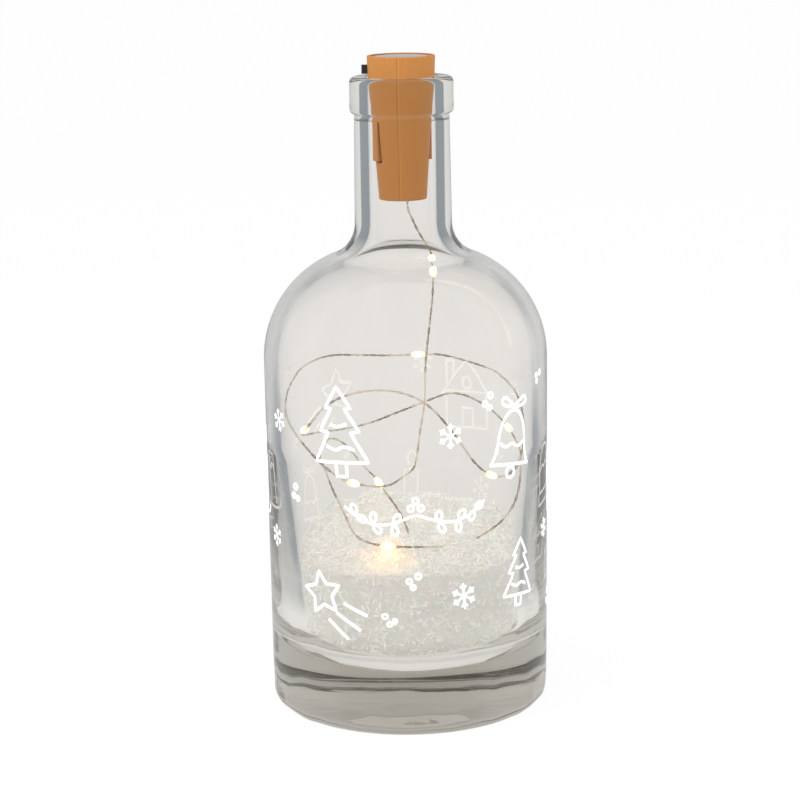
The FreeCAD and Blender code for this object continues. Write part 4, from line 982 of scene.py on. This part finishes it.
small(
    "driver_chip_legs choke_leads battery_cell battery_cap battery_tab_positive battery_tab_negative "
    "switch_can",
    "plated_steel", (0.62, 0.63, 0.64), rough=0.3, metal=1.0, grain=1800,
)
small(
    "glue_blob", "clear_glue", (0.78, 0.75, 0.66), rough=0.3, grain=600, Subsurface_Weight=0.4,
    Subsurface_Scale=0.002,
)
small(
    "solar_cover", "solar_resin", (0.30, 0.24, 0.26), (0.26, 0.21, 0.24), rough=0.16, grain=300, bump=0.03,
    Coat_Weight=0.6,
)

# %% [markdown]
# Lacquered wire glints: stretches that catch the light stand beside dark ones. The glints are painted: the
# two colours of its finish are drawn far apart, so painted highlights stand beside painted shade along the
# wire.
# A lamp's resin glows from the chip outwards, from warm white in the middle to amber at the ends.

# %% Wire with painted glints, and lamps
wire_lacquer_painted_glints = finish(
    "wire_lacquer_painted_glints", (0.88, 0.78, 0.66), (0.32, 0.24, 0.18), rough=0.28, metal=0.4, grain=170, bump=0.05,
)
tree = wire_lacquer_painted_glints.node_tree
# Painted highlights and painted shade: the noise is sharpened into light and dark stretches of wire.
painted_glint_patches = map_range(tree, tree.nodes["cloud"].outputs["Fac"], 0.43, 0.57)
put(tree, painted_glint_patches, tree.nodes["blend"].inputs["Factor"])
for piece in (drop_wire, loop_wire, nodes["string_tail"]):
    dress(piece, wire_lacquer_painted_glints)

lamp_glow = finish("lamp_glow", (1.0, 0.9, 0.7), rough=0.2, grain=800, bump=0.0)
tree = lamp_glow.node_tree
fading = colour_ramp(
    tree, attribute(tree, "from_chip"),
    [(0.0, (1.0, 0.90, 0.62)), (0.45, (1.0, 0.80, 0.42)), (0.75, (0.70, 0.43, 0.17)),
     (1.0, (0.46, 0.25, 0.08))],
)
put(tree, fading, tree.nodes["Principled BSDF"].inputs["Emission Color"])
put(tree, 1.7, tree.nodes["Principled BSDF"].inputs["Emission Strength"])
for piece in (top_drop, loop_drops, nodes["top_lamp_chip"], nodes["loop_lamp_chips"]):
    dress(piece, lamp_glow)
print("glow nodes:", len(tree.nodes))

# %% [markdown]
# Loose snow passes light on from flake to flake, more than a few bounces can follow. A small even painted
# glow stands for that light, and a warmer painted glow round two lamps that lie in the snow stands for
# theirs.

# %% Snow
SUNK_LAMPS = (5, 7)
GLOW_REACH = 15 * MM
EVEN_PAINTED_GLOW, WARM_PAINTED_GLOW = (0.90, 0.89, 0.86, 1), (3.0, 1.9, 0.95, 1)


def painted_glow_near_lamps(material, strength, places):
    """Paint a small even glow on a piece, and a warm painted glow near the lamps that lie in it."""
    tree = material.node_tree
    shader = tree.nodes["Principled BSDF"]
    total = None
    for at in places:
        far = add_node(tree, "VectorMath")
        far.operation = "DISTANCE"
        put(tree, tree.nodes["place"].outputs["Object"], far.inputs[0])
        put(tree, at, far.inputs[1])
        near = map_range(tree, far.outputs["Value"], GLOW_REACH, 0.0, "SMOOTHERSTEP")
        total = near if total is None else maths(tree, "MAXIMUM", total, near)
    # Painted glow: an even emission over the snow and a warm one round the sunk lamps.
    put(tree, mix_colour(tree, total, EVEN_PAINTED_GLOW, WARM_PAINTED_GLOW), shader.inputs["Emission Color"])
    put(tree, strength, shader.inputs["Emission Strength"])


snow_white = finish(
    "snow_white", (0.92, 0.91, 0.87), (0.72, 0.71, 0.67), rough=0.6, grain=700, bump=0.6, depth=0.6,
    Subsurface_Weight=0.5, Subsurface_Scale=0.004,
)
flake_film = finish("flake_film", (0.97, 0.96, 0.94), (0.86, 0.85, 0.82), rough=0.22, grain=250, bump=0.0)
sunk = [loop_places[number].translation for number in SUNK_LAMPS]
for piece, material, strength in ((snow_bed, snow_white, 0.13), (snow_flakes, flake_film, 0.19)):
    dress(piece, material)
    painted_glow_near_lamps(material, strength, sunk)
print("lamps in the snow:", len(sunk))

# %% [markdown]
# Screen ink is opaque white from outside, and a painted glow, a white emission, keeps it bright. Its back,
# which shows through the glass on the far side, gets a dimmer, translucent finish with a painted glow that
# stands for the little light that comes through, so those figures look pale. The mark on the ink's faces
# tells the two sides apart.

# %% White ink
white_ink = finish(
    "white_ink", (0.97, 0.97, 0.97), (0.92, 0.92, 0.92), rough=0.7, grain=1500, bump=0.1, depth=0.01,
)
tree = white_ink.node_tree
shader = tree.nodes["Principled BSDF"]
# Painted glow: the front of the ink gets a white emission.
put(tree, (1, 1, 1, 1), shader.inputs["Emission Color"])
put(tree, 0.45, shader.inputs["Emission Strength"])
# The back: translucent, with a painted glow for the light that comes through the glass.
ink_back = add_node(tree, "BsdfTranslucent", Color=(0.50, 0.50, 0.49, 1))
ink_back_painted_glow = add_node(tree, "Emission", Color=(0.52, 0.52, 0.51, 1), Strength=1.0)
back = join(tree, "AddShader", ink_back, ink_back_painted_glow)
sided = join(tree, "MixShader", attribute(tree, "outer_side"), back, shader)
put(tree, sided, tree.nodes["Material Output"].inputs["Surface"])
dress(ink, white_ink)
print("materials:", len(bpy.data.materials))

# %% [markdown]
# ## Pieces take their places
# Every new piece stands for the nodes that it replaces, and all but the hanging string ride on a body of
# the frame. The hanging string crosses the joint between the bottle and the plug; its place is only baked
# into its points.

# %% Bodies and replaced nodes
for piece, name, stands_for in (
    (bottle, "clear_glass", ["glass_bottle"]), (snow_bed, "snow", ["snow_fill"]), (snow_flakes, "snow", []),
    (loop_drops, "clear_resin", ["loop_lamp_beads"]), (loop_wire, "string_wire", ["string_loops"]),
    (ink, "snow", []),
):
    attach(piece, "bottle")
    if stands_for:
        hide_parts(*stands_for)
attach(top_drop, "stopper")
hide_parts("top_lamp_bead")
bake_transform(drop_wire)
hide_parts("string_drop")
print("cords:", round(drop_length / MM, 1), "and", round(loop_length / MM, 1), "mm")

# %% [markdown]
# ## Light and floor
# The bottle stands on a plain pale floor in soft light. The floor shines white to the camera and through
# the glass, and little more than half as bright in reflections, which would veil the plug. A small part of
# what the camera sees is an ordinary matte surface, and that part lets a soft shadow show.

# %% Floor
FLOOR_WHITE, GLOSS_DIMMING = 1.04, -0.45
CAMERA_SHARE = 0.88
floor_bm = bmesh.new()
bmesh.ops.create_grid(floor_bm, x_segments=1, y_segments=1, size=12)
floor = link("floor", mesh_from(floor_bm, "floor", smooth=False))

floor_white = bpy.data.materials.new("floor_white")
floor_white.use_nodes = True
tree = floor_white.node_tree
shader = tree.nodes["Principled BSDF"]
put(tree, (0.86, 0.86, 0.86, 1), shader.inputs["Base Color"])
put(tree, 0.9, shader.inputs["Roughness"])
path = add_node(tree, "LightPath")
in_gloss, in_glass = path.outputs["Is Glossy Ray"], path.outputs["Is Transmission Ray"]
only_gloss = maths(tree, "SUBTRACT", in_gloss, in_glass, clamp=True)
power = maths(tree, "MULTIPLY_ADD", only_gloss, GLOSS_DIMMING, FLOOR_WHITE)
white = add_node(tree, "Emission", Strength=power)
indirect = maths(tree, "MAXIMUM", in_gloss, in_glass)
shining = maths(tree, "MULTIPLY_ADD", path.outputs["Is Camera Ray"], CAMERA_SHARE, indirect)
surface = join(tree, "MixShader", shining, shader, white)
put(tree, surface, tree.nodes["Material Output"].inputs["Surface"])
dress(floor, floor_white)
print("floor nodes:", len(tree.nodes))

# %% [markdown]
# The world is plain too. The camera and the glass see white near the horizon and a little less overhead,
# which gives the thick glass something to pick up, reflections see the same but dimmer, and everything
# else is lit by one soft, slightly cool white.

# %% World
world = bpy.data.worlds.new("studio")
bpy.context.scene.world = world
world.use_nodes = True
tree = world.node_tree
tree.nodes.clear()
out = add_node(tree, "OutputWorld")
place = add_node(tree, "TexCoord").outputs["Generated"]
split = add_node(tree, "SeparateXYZ", Vector=place)
path = add_node(tree, "LightPath")
overhead = colour_ramp(tree, split.outputs["Z"], [(0.30, 1.0), (0.75, (0.64, 0.65, 0.67))])
shown = add_node(tree, "Background", Color=overhead)
gloss = add_node(tree, "Background", Color=overhead, Strength=0.6)
soft = add_node(tree, "Background", Color=(0.97, 0.98, 1.0, 1), Strength=0.7)
plain = maths(tree, "MAXIMUM", path.outputs["Is Camera Ray"], path.outputs["Is Transmission Ray"])
lit = join(tree, "MixShader", path.outputs["Is Glossy Ray"], soft, gloss)
put(tree, join(tree, "MixShader", plain, lit, shown), out.inputs["Surface"])
print("world nodes:", len(tree.nodes))

# %% [markdown]
# Two square area lamps give the soft light a direction, and a tiny warm point lamp sits in each resin drop
# to light what is near it. None of them shows in gloss or through the glass.

# %% Lamps
AIM_HEIGHT = 0.1
LAMP_POWER, LAMP_COLOUR, LAMP_RADIUS = 0.0014, (1.0, 0.74, 0.42), 1.6 * MM


def add_lamp(name, kind, place, power):
    data = bpy.data.lights.new(name, kind)
    data.energy = power
    lamp = link(name, data)
    lamp.location = place
    lamp.visible_glossy = lamp.visible_transmission = False
    return lamp


for name, place, size, power in (("key", (-0.7, -0.6, 1.0), 0.6, 7.0), ("fill", (0.9, -0.5, 0.6), 0.7, 3.0)):
    lamp = add_lamp(name, "AREA", place, power)
    lamp.data.shape = "SQUARE"
    lamp.data.size = size
    lamp.rotation_euler = (Vector((0, 0, AIM_HEIGHT)) - Vector(place)).to_track_quat("-Z", "Y").to_euler()
for number, place in enumerate(drop_places + loop_places):
    lamp = add_lamp(f"lamp_light_{number}", "POINT", place.translation, LAMP_POWER)
    lamp.data.color = LAMP_COLOUR
    lamp.data.shadow_soft_size = LAMP_RADIUS
print("lights:", len(bpy.data.lights))

# %% [markdown]
# ## Finish
# A ray that crosses the bottle passes four skins of glass, and in the thick foot it turns round many times
# more, so the render gets more bounces than usual.

# %% Finish
cycles = bpy.context.scene.cycles
cycles.glossy_bounces = cycles.transmission_bounces = 24
cycles.max_bounces = 32
bpy.context.scene.view_settings.view_transform = "Standard"
